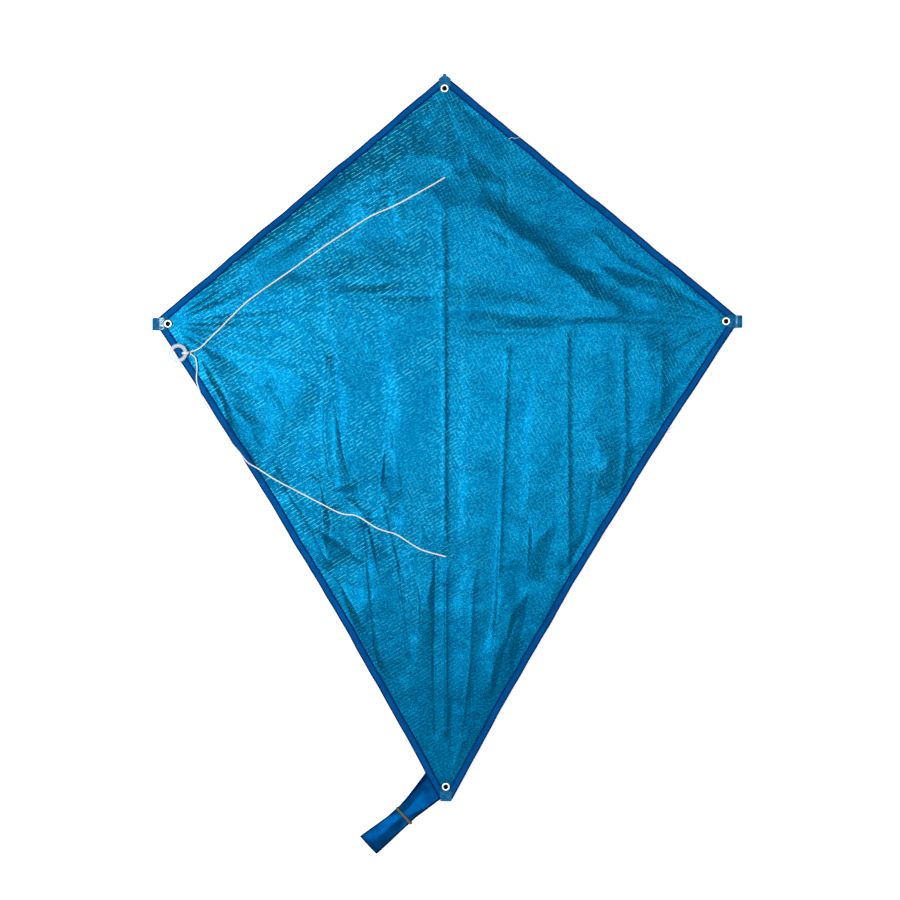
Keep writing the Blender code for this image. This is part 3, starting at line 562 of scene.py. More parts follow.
@dataclass(frozen=True)
class Moulded:
    """Plastic or rubber with a faint uneven surface."""

    name: str
    colour: Colour
    roughness: float
    second: Colour
    grain: float = 900.0
    depth: float = 0.05 * MM
    shine: float = 0.5
    alpha: float = 1.0
    coat: float = 0.0
    subsurface: float = 0.0

    def make(self) -> bpy.types.Material:
        """Build the material."""
        graph = Graph(self.name, self.colour, self.roughness)
        point = graph.object_point()
        clouds = graph.noise(point, 130.0, 4.0, 0.6)
        patchy = graph.ranged(clouds, 0.3, 0.7)
        graph.into("Base Color", graph.blend(patchy, (*self.colour, 1), (*self.second, 1)))
        graph.into("Roughness", graph.ranged(clouds, 0.2, 0.8, self.roughness * 0.8, self.roughness * 1.2))
        graph.constant("Specular IOR Level", self.shine)
        graph.constant("Alpha", self.alpha)
        graph.constant("Coat Weight", self.coat)
        graph.constant("Subsurface Weight", self.subsurface)
        graph.constant("Subsurface Radius", (1.5 * MM, 1.5 * MM, 1.5 * MM))
        normal = graph.bump(graph.noise(point, self.grain, 3.0), 0.3, self.depth)
        graph.into("Normal", graph.bump(graph.noise(point, 210.0, 2.0), 0.4, self.depth * 6, normal))
        return graph.material


@dataclass(frozen=True)
class CornerFilm:
    """Thin plastic folded round a corner: clear over the sail, then tinted, with painted whitish glint
    streaks in a band beyond the eyelet.
    """

    name: str
    glint_start: float
    glint_end: float
    film_glint: float
    tint: Colour = (0.0, 0.120, 0.275)
    deep: Colour = (0.0, 0.062, 0.175)
    # white: colour of the painted whitish glints.
    white: Colour = (0.62, 0.84, 0.93)
    side_eyelet: float = 279.5 * MM
    nose_eyelet: float = 232.7 * MM
    tail_eyelet: float = -464.0 * MM

    def make(self) -> bpy.types.Material:
        """Build the material, whose places are shares of the eyelets' distances from the crossing."""
        graph = Graph(self.name, self.tint, 0.35)
        point = graph.object_point()
        side = graph.maths("DIVIDE", graph.maths("ABSOLUTE", graph.part(point, "X")), self.side_eyelet)
        nose = graph.maths("DIVIDE", graph.part(point, "Y"), self.nose_eyelet)
        tail = graph.maths("DIVIDE", graph.part(point, "Y"), self.tail_eyelet)
        out = graph.maths("MAXIMUM", side, graph.maths("MAXIMUM", nose, tail))
        clouds = graph.noise(point, 330.0, 4.0, 0.6)
        colour = graph.blend(graph.ranged(clouds, 0.35, 0.65), (*self.tint, 1), (*self.deep, 1))
        # Painted highlight: whitish glint streaks in a band beyond the eyelet.
        rise = graph.ranged(out, self.glint_start, self.glint_start + 0.008)
        fall = graph.ranged(out, self.glint_end - 0.006, self.glint_end, 1.0, 0.0)
        streaky_glint = graph.noise(graph.mapped(point, (1.0, 2.4, 1.0), 20.0), 260.0, 4.0, 0.7)
        streaks = graph.ranged(streaky_glint, 0.40, 0.60)
        film_glint = graph.product(graph.product(rise, fall), graph.product(streaks, self.film_glint))
        graph.into("Base Color", graph.blend(film_glint, colour, (*self.white, 1)))
        graph.into("Alpha", graph.ranged(out, 0.998, 1.014, 0.04, 0.94))
        graph.into("Roughness", graph.ranged(clouds, 0.3, 0.7, 0.30, 0.45))
        graph.constant("Specular IOR Level", 0.03)
        normal = graph.bump(graph.noise(point, 260.0, 3.0), 0.3, 0.14 * MM)
        graph.into("Normal", graph.bump(graph.noise(point, 900.0, 2.0), 0.3, 0.05 * MM, normal))
        return graph.material


@dataclass(frozen=True)
class PlatedMetal:
    """Bright pressed metal with fine turning marks and small dull spots, with painted shade on its steep
    sides.
    """

    name: str = "eyelet_metal"
    colour: Colour = (0.98, 0.98, 0.98)
    spot: Colour = (0.62, 0.60, 0.58)
    painted_steep_shade: Colour = (0.006, 0.008, 0.012)

    def make(self) -> bpy.types.Material:
        """Build the material."""
        graph = Graph(self.name, self.colour, 0.30, 0.9)
        point = graph.object_point()
        spots = graph.ranged(graph.noise(point, 700.0, 4.0, 0.7), 0.5, 0.75)
        colour = graph.blend(spots, (*self.colour, 1), (*self.spot, 1))
        # Painted shade: the steep sides darken according to which way the surface faces.
        facing = graph.node("ShaderNodeTexCoord").outputs["Normal"]
        steep = graph.ranged(graph.maths("ABSOLUTE", graph.part(facing, "Z")), 0.45, 0.80, 1.0, 0.0)
        graph.into("Base Color", graph.blend(steep, colour, (*self.painted_steep_shade, 1)))
        graph.into("Roughness", graph.ranged(spots, 0.0, 1.0, 0.42, 0.55))
        graph.into("Normal", graph.bump(graph.noise(point, 1500.0, 3.0), 0.25, 0.05 * MM))
        return graph.material


@dataclass
class Finishes:
    """Every material of the kite."""

    sail: bpy.types.Material = field(default_factory=lambda: SailCloth().make())
    tape: bpy.types.Material = field(default_factory=lambda: TapeCloth().make())
    ribbon: bpy.types.Material = field(default_factory=lambda: PlainCloth(
        "ribbon_cloth", (0.0, 0.062, 0.198), (0.0, 0.034, 0.128), 0.5 * MM, 0.36, 43.0,
        sheen=0.0, metallic=0.70, edge=0.045).make())
    cord: bpy.types.Material = field(default_factory=lambda: PlainCloth(
        "white_cord", (0.74, 0.74, 0.72), (0.60, 0.60, 0.57), 0.3 * MM, 0.7).make())
    thread: bpy.types.Material = field(default_factory=lambda: PlainCloth(
        "navy_thread", (0.0, 0.03, 0.17), (0.0, 0.02, 0.11), 0.2 * MM, 0.6).make())
    rod: bpy.types.Material = field(default_factory=lambda: Moulded(
        "rod_glass", (0.018, 0.018, 0.02), 0.35, (0.03, 0.03, 0.032)).make())
    vinyl: bpy.types.Material = field(default_factory=lambda: Moulded(
        "black_vinyl", (0.002, 0.002, 0.003), 0.6, (0.004, 0.004, 0.005), shine=0.08).make())
    clip: bpy.types.Material = field(default_factory=lambda: Moulded(
        "clip_plastic", (0.012, 0.012, 0.014), 0.45, (0.02, 0.02, 0.022)).make())
    film: bpy.types.Material = field(default_factory=lambda: CornerFilm(
        "clear_film", 1.004, 1.060, 0.03).make())
    # Side corner films with painted whitish glint streaks.
    streaky_glint: bpy.types.Material = field(default_factory=lambda: CornerFilm(
        "right_glint_film", 1.033, 1.042, 0.95).make())
    left_glint: bpy.types.Material = field(default_factory=lambda: CornerFilm(
        "left_glint_film", 1.012, 1.034, 0.95).make())
    ring: bpy.types.Material = field(default_factory=lambda: Moulded(
        "milky_plastic", (0.40, 0.48, 0.54), 0.30, (0.55, 0.62, 0.68), alpha=0.56, coat=0.2,
        subsurface=0.1).make())
    metal: bpy.types.Material = field(default_factory=lambda: PlatedMetal().make())
    rubber: bpy.types.Material = field(default_factory=lambda: Moulded(
        "band_rubber", (0.070, 0.048, 0.009), 0.6, (0.125, 0.080, 0.018), subsurface=0.1).make())


# ------------------------------------------------------------------ the sail's form

@dataclass(frozen=True)
class Crease:
    """A fold line pressed into the sail.

    The ridge stands up for a positive height and sinks for a negative one.
    """

    points: tuple[Pair, ...]
    height: float
    width: float = 3.0
    blunt: float = 0.35

    def lift(self, x: np.ndarray, y: np.ndarray) -> np.ndarray:
        """Height that the crease adds.

        Args:
            x: places across the kite, in millimetres.
            y: places along it, in millimetres.

        Returns:
            The heights, in millimetres.
        """
        best = np.full(x.shape, 1e9)
        for (ax, ay), (bx, by) in zip(self.points, self.points[1:]):
            length = (bx - ax) ** 2 + (by - ay) ** 2
            t = np.clip(((x - ax) * (bx - ax) + (y - ay) * (by - ay)) / length, 0, 1)
            best = np.minimum(best, np.hypot(x - ax - t * (bx - ax), y - ay - t * (by - ay)))
        return self.height * np.exp(-(np.sqrt(best**2 + self.blunt**2) - self.blunt) / self.width)


@dataclass(frozen=True)
class Swell:
    """A broad rise or hollow, steeper on one side: it falls off over `near` on the side its normal leaves."""

    centre: Pair
    height: float
    long: float
    far: float
    near: float
    turn: float = 0.0

    def lift(self, x: np.ndarray, y: np.ndarray) -> np.ndarray:
        """Height that the swell adds, in millimetres."""
        angle = math.radians(self.turn)
        wander = 5.0 * np.sin(x / 23.0 + y / 31.0 + self.turn) + 2.5 * np.sin(x / 9.0 - y / 13.0)
        dx, dy = x - self.centre[0], y - self.centre[1]
        along = dx * math.cos(angle) + dy * math.sin(angle)
        aside = dy * math.cos(angle) - dx * math.sin(angle) + wander * 0.5
        width = np.where(aside > 0, self.far, self.near)
        return self.height * np.exp(-((along / self.long) ** 2 + (aside / width) ** 2))


@dataclass(frozen=True)
class Tent:
    """A low pyramid of flat cloth with sharp folds between its sides."""

    corners: tuple[Pair, ...]
    apex: Pair
    height: float

    def lift(self, x: np.ndarray, y: np.ndarray) -> np.ndarray:
        """Height that the tent adds, in millimetres."""
        share = np.zeros(x.shape)
        for (ax, ay), (bx, by) in zip(self.corners, self.corners[1:] + self.corners[:1]):
            nx, ny = by - ay, ax - bx
            reach = (ax - self.apex[0]) * nx + (ay - self.apex[1]) * ny
            share = np.maximum(share, ((x - self.apex[0]) * nx + (y - self.apex[1]) * ny) / reach)
        return self.height * np.clip(1 - share, 0, 1)


@dataclass(frozen=True)
class Pull:
    """Folds that fan out from a corner where the cloth is held."""

    corner: Pair
    height: float
    folds: float
    reach: float
    phase: float = 0.0

    def lift(self, x: np.ndarray, y: np.ndarray) -> np.ndarray:
        """Height that the folds add, in millimetres."""
        dx, dy = x - self.corner[0], y - self.corner[1]
        away = np.hypot(dx, dy)
        angle = np.arctan2(dy, dx)
        fan = np.sin(self.folds * angle + self.phase)
        fan = fan + 0.5 * np.sin(self.folds * 1.9 * angle + 2.0 * self.phase)
        return self.height * fan * np.exp(-away / self.reach) * (1 - np.exp(-((away / 26.0) ** 2)))


CREASES = (
    Crease(((0, 130), (0, -30), (0.5, -410)), 1.1, 2.6),
    Crease(((-60, 168), (-59, 120)), -1.1, 2.0),
    Crease(((-96, 118), (-60, 122), (-30, 134)), -0.8, 3.0),
    Crease(((-36, 196), (-30, 150), (-34, 110)), 0.7, 3.0),
    Crease(((-118, 60), (-117, 6)), 0.6, 2.2),
    Crease(((-176, -60), (-158, -92), (-150, -130)), -0.7, 3.0),
    Crease(((-170, -150), (-140, -196), (-118, -240)), 0.9, 3.0),
    Crease(((-140, -230), (-108, -262), (-96, -300)), -0.9, 3.0),
    Crease(((-112, -286), (-92, -318), (-80, -360)), 0.8, 2.6),
    Crease(((-24, -200), (-22, -262)), 0.6, 2.2),
    Crease(((-52, -110), (-46, -168)), 0.6, 2.6),
    Crease(((14, 60), (16, 8)), -0.6, 2.6),
    Crease(((150, 86), (178, 58), (214, 40)), 0.7, 4.0),
    Crease(((-117, -38), (-121, -108), (-116, -150)), 1.0, 2.6),
    Crease(((-117, -38), (-102, -130), (-88, -178), (-80, -200)), 0.9, 2.6),
    Crease(((62, -30), (58, -130), (52, -278), (45, -368)), 1.0, 2.6),
    Crease(((121, -10), (122, -120), (123, -263)), 0.9, 2.4),
    Crease(((177, -20), (180, -128), (172, -190)), 0.8, 2.4),
    Crease(((217, -14), (215, -90)), 0.5, 2.4),
    Crease(((62, 150), (62, 60)), -0.6, 2.6),
    Crease(((-84, -205), (-74, -318), (-60, -384)), -1.1, 2.8),
    Crease(((-63, -183), (-50, -238), (-38, -330)), 1.0, 2.8),
    Crease(((-10, -238), (-12, -330), (-10, -412)), -0.9, 2.6),
    Crease(((6, -380), (4, -452)), -1.0, 2.6),
    Crease(((28, -250), (24, -340), (14, -430)), 0.8, 3.0),
    Crease(((-250, -30), (-226, -80), (-208, -122), (-176, -180)), -1.1, 3.6),
    Crease(((-236, -52), (-190, -120), (-150, -176), (-120, -214)), 0.7, 4.0),
    Crease(((10, -6), (60, -9), (104, -7)), -0.8, 5.0),
    Crease(((140, -2), (215, -4), (262, -1)), -0.7, 4.0),
    Crease(((-129, 30), (-70, 28), (-15, 26)), -0.9, 5.5),
    Crease(((-230, 4), (-190, 6), (-140, 14)), 0.8, 5.0),
    Crease(((-135, -150), (-112, -166), (-92, -160)), 0.9, 2.8),
    Crease(((-122, -186), (-100, -178), (-74, -196)), -0.9, 2.8),
    Crease(((-128, -206), (-104, -222), (-84, -238)), 0.8, 3.0),
    Crease(((40, 96), (96, 62), (150, 50)), -0.8, 6.0),
    Crease(((72, 20), (120, 8), (172, 14)), 0.7, 5.0),
    Crease(((-44, 190), (-52, 128), (-40, 84)), 0.7, 5.0),
    Crease(((70, -296), (58, -330), (48, -372)), -0.6, 3.0),
    Crease(((150, -150), (140, -214), (118, -250)), -0.7, 3.5),
)
SWELLS = (
    Swell((-150, 92), 3.4, 110, 30, 13, 36),
    Swell((-52, 136), 2.4, 60, 26, 10, 24),
    Swell((-70, 44), 2.2, 62, 26, 9, 3),
    Swell((-150, 26), 1.5, 60, 18, 9, 4),
    Swell((52, 96), 2.6, 90, 14, 34, -38),
    Swell((120, 40), 2.4, 90, 14, 30, -40),
    Swell((60, 10), 2.0, 60, 24, 10, -3),
    Swell((170, 8), 1.5, 60, 20, 9, -2),
    Swell((-226, -66), 1.8, 46, 14, 10, -52),
    Swell((-150, -70), 1.6, 60, 34, 16, 66),
    Swell((-196, -128), 1.8, 60, 12, 22, -57),
    Swell((-98, -116), 2.2, 84, 9, 24, 96),
    Swell((-44, -120), 1.8, 130, 12, 34, 94),
    Swell((26, -150), 1.6, 130, 10, 26, 91),
    Swell((90, -120), 2.2, 110, 10, 30, 88),
    Swell((146, -92), 1.8, 70, 10, 26, 90),
    Swell((200, -70), 1.6, 60, 10, 20, 84),
    Swell((-66, -300), 2.0, 90, 8, 20, 99),
    Swell((-30, -310), 1.8, 100, 7, 17, 94),
    Swell((20, -330), 1.6, 110, 8, 20, 90),
    Swell((52, -300), 1.8, 90, 8, 18, 84),
    Swell((110, -250), 1.6, 60, 9, 22, 80),
)
TENTS = (
    Tent(((-222, -76), (-183, -100), (-184, -150), (-220, -120)), (-213, -106), 3.4),
    Tent(((148, -112), (194, -120), (178, -170), (146, -178)), (156, -140), 2.8),
    Tent(((-126, -158), (-98, -176), (-94, -238), (-120, -248)), (-114, -200), 3.2),
    Tent(((-106, -262), (-70, -270), (-50, -362), (-84, -332)), (-88, -292), 3.0),
    Tent(((-102, 128), (-18, 150), (-8, 94), (-94, 82)), (-72, 108), 2.4),
    Tent(((54, -254), (84, -268), (66, -358), (46, -352)), (60, -300), 2.6),
    Tent(((150, 58), (236, 32), (246, 8), (160, 12)), (176, 36), 2.0),
    Tent(((-30, -226), (-6, -236), (-8, -318), (-26, -322)), (-22, -266), 2.2),
    Tent(((20, 172), (64, 136), (52, 104), (16, 118)), (28, 142), 2.0),
    Tent(((-60, -118), (-40, -150), (-48, -196), (-66, -170)), (-60, -150), 2.2),
    Tent(((-80, -196), (-62, -186), (-44, -246), (-66, -262)), (-72, -214), 2.6),
    Tent(((84, -190), (112, -196), (104, -262), (80, -256)), (88, -222), 2.4),
)
PULLS = (
    Pull((-279.5, 0), 0.65, 15, 84, 0.4),
    Pull((279.5, 0), 0.45, 16, 66, 1.1),
    Pull((0, 232.7), 0.45, 11, 62, 0.8),
    Pull((0, -464), 0.30, 21, 70, 1.9),
)


@dataclass(frozen=True)
class Form:
    """The kite's outline and the height of its sail, read from the fixed frame."""

    nose: float
    tail: float
    span: float
    slope: float
    ridge: float
    fall: float
    tip_rise: float = 2.6 * MM
    tail_half: float = 6.0 * MM
    hollow: float = 7.9 * MM
    ripples: int = 22
    tows: Pair = (144.0 * MM, -234.0 * MM)
    tow_slope: float = 0.09
    depth: float = 1.45

    @staticmethod
    def read() -> "Form":
        """Work the form out from the CAD nodes' boxes."""
        spine_low, spine_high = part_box("spine")
        radius = (spine_high.x - spine_low.x) / 2
        slope = (spine_high.z - spine_low.z - 2 * radius) / (spine_high.y - spine_low.y)
        _, sail_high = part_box("sail")
        _, tape_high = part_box("edge_tape_upper_right")
        lower_low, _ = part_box("edge_tape_lower_right")
        eye_low, eye_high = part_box("eyelet_washer_right")
        spar_low, spar_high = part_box("cross_spar")
        spine_mid = spine_low.z + radius - slope * spine_low.y
        ridge = sail_high.z - slope * sail_high.y - 0.15 * MM
        fall = (spine_mid - (spar_low.z + spar_high.z) / 2) / ((eye_low.x + eye_high.x) / 2)
        return Form(tape_high.y, -lower_low.y, tape_high.x, slope, ridge, fall)

    def roof(self, x: np.ndarray, y: np.ndarray) -> np.ndarray:
        """Height of the taut sail."""
        return self.ridge + self.slope * y - self.fall * np.abs(x)

    def relief(self, x: np.ndarray, y: np.ndarray) -> np.ndarray:
        """How far creases and folds lift the cloth from the taut sail, in metres; least by the tow points."""
        across, along = x / MM, y / MM
        lift = np.zeros(across.shape)
        for feature in CREASES + SWELLS + TENTS + PULLS:
            lift += self.depth * feature.lift(across, along)
        draws = np.random.RandomState(11)
        for _ in range(self.ripples):
            turn, wave, start = draws.uniform(0, math.tau), draws.uniform(22, 75), draws.uniform(0, math.tau)
            lift += 0.0010 * wave * np.sin(
                (across * math.cos(turn) + along * math.sin(turn)) * math.tau / wave + start
            )
        calm = np.ones(across.shape)
        for pull in PULLS:
            away = np.hypot(across - pull.corner[0], along - pull.corner[1])
            calm *= 1 - np.exp(-((away / 20.0) ** 4))
        for tow in self.tows:
            lift = np.minimum(lift, self.tow_slope * np.hypot(across, along - tow / MM))
        spine = np.exp(-((across / 9.0) ** 2))
        lift = np.where(lift < 0, lift * (1 - 0.85 * spine), lift)
        edge = self.edge_distance(x, y) / MM
        calm *= 0.25 + 0.75 * (1 - np.exp(-((edge / 14.0) ** 2)))
        return np.clip(lift, -3.4, 4.6) * calm * MM

    def height(self, x: np.ndarray, y: np.ndarray) -> np.ndarray:
        """Height of the creased sail."""
        return self.roof(x, y) + self.relief(x, y)

    def half_width(self, y: np.ndarray) -> np.ndarray:
        """Half the kite's width at y."""
        upper = self.span * (self.nose - y) / (self.nose - self.tip_rise)
        t = np.clip((self.tip_rise - y) / (self.tail + self.tip_rise), 0, 1)
        lower = self.span + (self.tail_half - self.span) * t - self.hollow * 4 * t * (1 - t)
        return np.where(y > self.tip_rise, upper, lower)

    def edge_distance(self, x: np.ndarray, y: np.ndarray) -> np.ndarray:
        """Rough distance inwards from the nearest edge."""
        lean = np.where(y > self.tip_rise, 0.64, 0.857)
        return np.maximum((self.half_width(y) - np.abs(x)) * lean, 0)

    def edge(self, upper: bool, t: np.ndarray) -> tuple[np.ndarray, np.ndarray]:
        """Points of the right-hand upper or lower edge.

        Args:
            upper: whether it is the edge from the nose to the tip, and not the one from the tip to the tail.
            t: places along it from 0 to 1.

        Returns:
            The x and y of the points.
        """
        if upper:
            return self.span * t, self.nose + (self.tip_rise - self.nose) * t
        x = self.span + (self.tail_half - self.span) * t - self.hollow * 4 * t * (1 - t)
        return x, self.tip_rise - (self.tail + self.tip_rise) * t


# ------------------------------------------------------------------ sub-assemblies

@dataclass
class Stage:
    """Camera, lights and the pale surface the kite lies on."""

    target: Point = (4.6 * MM, -127.6 * MM, 10.0 * MM)
    distance: float = 1.6
    view: float = 0.9
    lean: float = 2.1
    roll: float = -0.09

    def camera(self) -> None:
        """Look straight down, a little from the right."""
        lens = bpy.data.cameras.new("camera")
        lens.sensor_width = 36.0
        lens.lens = 36.0 * self.distance / self.view
        holder = bpy.data.objects.new("camera", lens)
        bpy.context.scene.collection.objects.link(holder)
        turn = Matrix.Rotation(math.radians(self.lean), 4, "Y")
        turn = turn @ Matrix.Rotation(math.radians(self.roll), 4, "Z")
        back = Matrix.Translation((0, 0, self.distance))
        holder.matrix_world = Matrix.Translation(self.target) @ turn @ back
        bpy.context.scene.camera = holder

    def light(self, name: str, place: Point, aim: Point, size: float, power: float) -> None:
        """Add one soft lamp.

        Args:
            name: the lamp's name.
            place: where it stands.
            aim: what it points at.
            size: its side.
            power: its power in watts.
        """
        lamp = bpy.data.lights.new(name, "AREA")
        lamp.shape = "SQUARE"
        lamp.size = size
        lamp.energy = power
        holder = bpy.data.objects.new(name, lamp)
        holder.location = place
        holder.rotation_euler = (Vector(aim) - Vector(place)).to_track_quat("-Z", "Y").to_euler()
        bpy.context.scene.collection.objects.link(holder)

    def build(self) -> None:
        """Set up everything round the kite."""
        self.light("key", (-0.95, -0.02, 1.9), (0.0, -0.1, 0.0), 0.34, 25.0)
        self.light("middle", (-0.32, 0.0, 1.9), (0.0, -0.1, 0.0), 0.28, 3.4)
        self.light("right", (0.34, -0.04, 1.9), (0.1, -0.1, 0.0), 0.30, 11.5)
        world = bpy.data.worlds.new("studio")
        world.use_nodes = True
        world.node_tree.nodes["Background"].inputs["Color"].default_value = (0.93, 0.96, 1.0, 1)
        world.node_tree.nodes["Background"].inputs["Strength"].default_value = 0.56
        bpy.context.scene.world = world
        bpy.context.scene.view_settings.view_transform = "Standard"
        bm = bmesh.new()
        bmesh.ops.create_grid(bm, x_segments=1, y_segments=1, size=6.0)
        bmesh.ops.translate(bm, vec=(0, 0, -0.1 * MM), verts=bm.verts)
        floor = finish_piece("floor", bm)
        graph = Graph("pale_floor", (0.9, 0.9, 0.9), 0.8)
        clouds = graph.noise(graph.object_point(), 3.0)
        graph.into("Base Color", graph.blend(clouds, (0.9, 0.9, 0.9, 1), (0.93, 0.93, 0.93, 1)))
        graph.constant("Emission Color", (1, 1, 1, 1))
        graph.constant("Emission Strength", 0.38)
        set_finish(floor, graph.material)


@dataclass
class Sail:
    """The creased sheet and the tapes sewn round it."""

    form: Form
    finishes: Finishes
    columns: int = 280
    rows: int = 350
    fold: float = 0.6 * MM
    tape_width: float = 7.5 * MM
    tape_lift: float = 0.6 * MM
    tape_wall: float = 0.25 * MM
    hole: float = 2.9 * MM
    stitch_pitch: float = 2.7 * MM
    stitch_long: float = 2.0 * MM
    stitch_thick: float = 0.32 * MM
    tapes: list[bpy.types.Object] = field(default_factory=list)

    def holes(self) -> list[Vector]:
        """Places in plan of the four eyelets."""
        names = ("eyelet_nose", "eyelet_tail", "eyelet_left", "eyelet_right")
        return [((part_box(name)[0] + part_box(name)[1]) / 2).to_2d() for name in names]

    def open_holes(self, piece: bpy.types.Object) -> None:
        """Cut the eyelets' holes in a sheet and round them off."""
        bm = bmesh.new()
        bm.from_mesh(piece.data)
        for place in self.holes():
            reach = self.hole * 0.8
            near = [face for face in bm.faces if (face.calc_center_median().to_2d() - place).length < reach]
            bmesh.ops.delete(bm, geom=near, context="FACES")
            for vert in bm.verts:
                away = vert.co.to_2d() - place
                if 0 < away.length < self.hole:
                    away = place + away.normalized() * self.hole
                    vert.co.x, vert.co.y = away
        bm.to_mesh(piece.data)
        bm.free()

    def sheet(self) -> bpy.types.Object:
        """The sail's cloth, whose edges end inside the tapes' folds."""
        top, base = self.form.nose - self.fold, -self.form.tail + self.fold

        def surface(u: np.ndarray, v: np.ndarray) -> tuple[np.ndarray, np.ndarray, np.ndarray]:
            """Spread the grid over the kite's outline."""
            y = base + (top - base) * v
            x = (2 * u - 1) * np.maximum(self.form.half_width(y) - self.fold * 1.3, 0.1 * MM)
            return x, y, self.form.height(x, y)

        piece = shaped("sail_sheet", self.columns, self.rows, surface)
        self.open_holes(piece)
        set_finish(piece, self.finishes.sail)
        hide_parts("sail")
        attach(piece, "root")
        return piece

    def tape_surface(self, upper: bool, side: Side) -> Surface:
        """The folded tape's middle surface along one edge.

        Args:
            upper: whether it is an upper edge.
            side: which half of the kite.

        Returns:
            A surface over u, across the tape from back to front, and v along the edge.
        """
        form = self.form

        def surface(u: np.ndarray, v: np.ndarray) -> tuple[np.ndarray, np.ndarray, np.ndarray]:
            """Wrap the tape round the sail's edge."""
            ex, ey = form.edge(upper, v)
            step = 0.004
            ax, ay = form.edge(upper, v + step)
            bx, by = form.edge(upper, v - step)
            size = np.hypot(ax - bx, ay - by)
            nx, ny = (ay - by) / size, -(ax - bx) / size
            leg = 0.42
            share = np.where(u < leg, 1 - u / leg, np.where(u > 1 - leg, (u - 1 + leg) / leg, 0.0))
            bend = np.clip((u - leg) / (1 - 2 * leg), 0, 1) * math.pi
            inset = self.tape_lift * (1 - np.sin(bend)) + share * (self.tape_width - self.tape_lift)
            lift = -self.tape_lift * np.cos(bend)
            pucker = 0.10 * MM * np.sin(v * 547.0) * share * (1 - share) * 4
            x, y = ex + nx * inset, ey + ny * inset
            start = (3.0 if upper else 1.0) + side.value
            drift = np.sin(v * 23.0 + start) + 0.6 * np.sin(v * 51.0 - start) + 0.3 * np.sin(v * 117.0)
            drift = 0.32 * MM * drift * np.sin(math.pi * v) ** 0.5
            x, y = x + nx * drift, y + ny * drift
            x = np.maximum(x, 0.05 * MM)
            y = np.maximum(y, -form.tail)
            signed = x * side.value
            z = form.height(signed, y) + lift + pucker * np.sign(lift)
            return signed, y, z

        return surface

    def add_tapes(self) -> None:
        """The four folded tapes."""
        for upper, level in ((True, "upper"), (False, "lower")):
            for side in Side:
                node = f"edge_tape_{level}_{side.name.lower()}"
                rows = 150 if upper else 210
                piece = shaped(f"{node}_cloth", 14, rows, self.tape_surface(upper, side), across=True)
                self.open_holes(piece)
                wall = piece.modifiers.new("wall", "SOLIDIFY")
                wall.thickness = self.tape_wall
                wall.offset = 0.0
                set_finish(piece, self.finishes.tape)
                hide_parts(node)
                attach(piece, "root")
                self.tapes.append(piece)

    def add_stitches(self) -> None:
        """Two rows of short stitches along every tape, as one piece."""
        bm = bmesh.new()
        for upper in (True, False):
            for side in Side:
                for inset in (1.5 * MM, self.tape_width - 1.0 * MM):
                    self.stitch_row(bm, upper, side, inset)
        piece = finish_piece("edge_stitching", bm)
        set_finish(piece, self.finishes.thread)
        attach(piece, "root")

    def stitch_row(self, bm: bmesh.types.BMesh, upper: bool, side: Side, inset: float) -> None:
        """One row of stitches.

        Args:
            bm: mesh that takes them.
            upper: whether it is an upper edge.
            side: which half of the kite.
            inset: distance from the finished edge.
        """
        form = self.form
        length = math.hypot(*(np.array(form.edge(upper, 1.0)) - np.array(form.edge(upper, 0.0))))
        count = int(length / self.stitch_pitch)
        t = (np.arange(count) + 0.5) / count
        step = self.stitch_long / length / 2
        ends = []
        for shift in (-step, step):
            ex, ey = form.edge(upper, t + shift)
            ax, ay = form.edge(upper, t + shift + 0.002)
            size = np.hypot(ax - ex, ay - ey)
            x, y = ex + (ay - ey) / size * inset, ey - (ax - ex) / size * inset
            signed = x * side.value
            z = form.height(signed, y) + self.tape_lift + self.tape_wall / 2 + self.stitch_thick * 0.2
            ends.append(np.column_stack([signed, y, z]))
        keep_out = self.holes()
        for start, end in zip(*ends):
            a, b = Vector(start), Vector(end)
            middle = (a + b) / 2
            if abs(middle.x) < 1.0 * MM or middle.y < -form.tail + 1.0 * MM:
                continue
            if any((middle.to_2d() - place).length < 4.6 * MM for place in keep_out):
                continue
            made = bmesh.ops.create_icosphere(bm, subdivisions=1, radius=0.5)
            turn = (b - a).to_track_quat("X", "Z").to_matrix().to_4x4()
            size = Matrix.Diagonal((self.stitch_long, self.stitch_thick, self.stitch_thick, 1))
            bmesh.ops.transform(bm, matrix=Matrix.Translation(middle) @ turn @ size, verts=made["verts"])

    def build(self) -> None:
        """Make the sheet and everything sewn to it."""
        sheet = self.sheet()
        self.add_tapes()
        self.add_stitches()


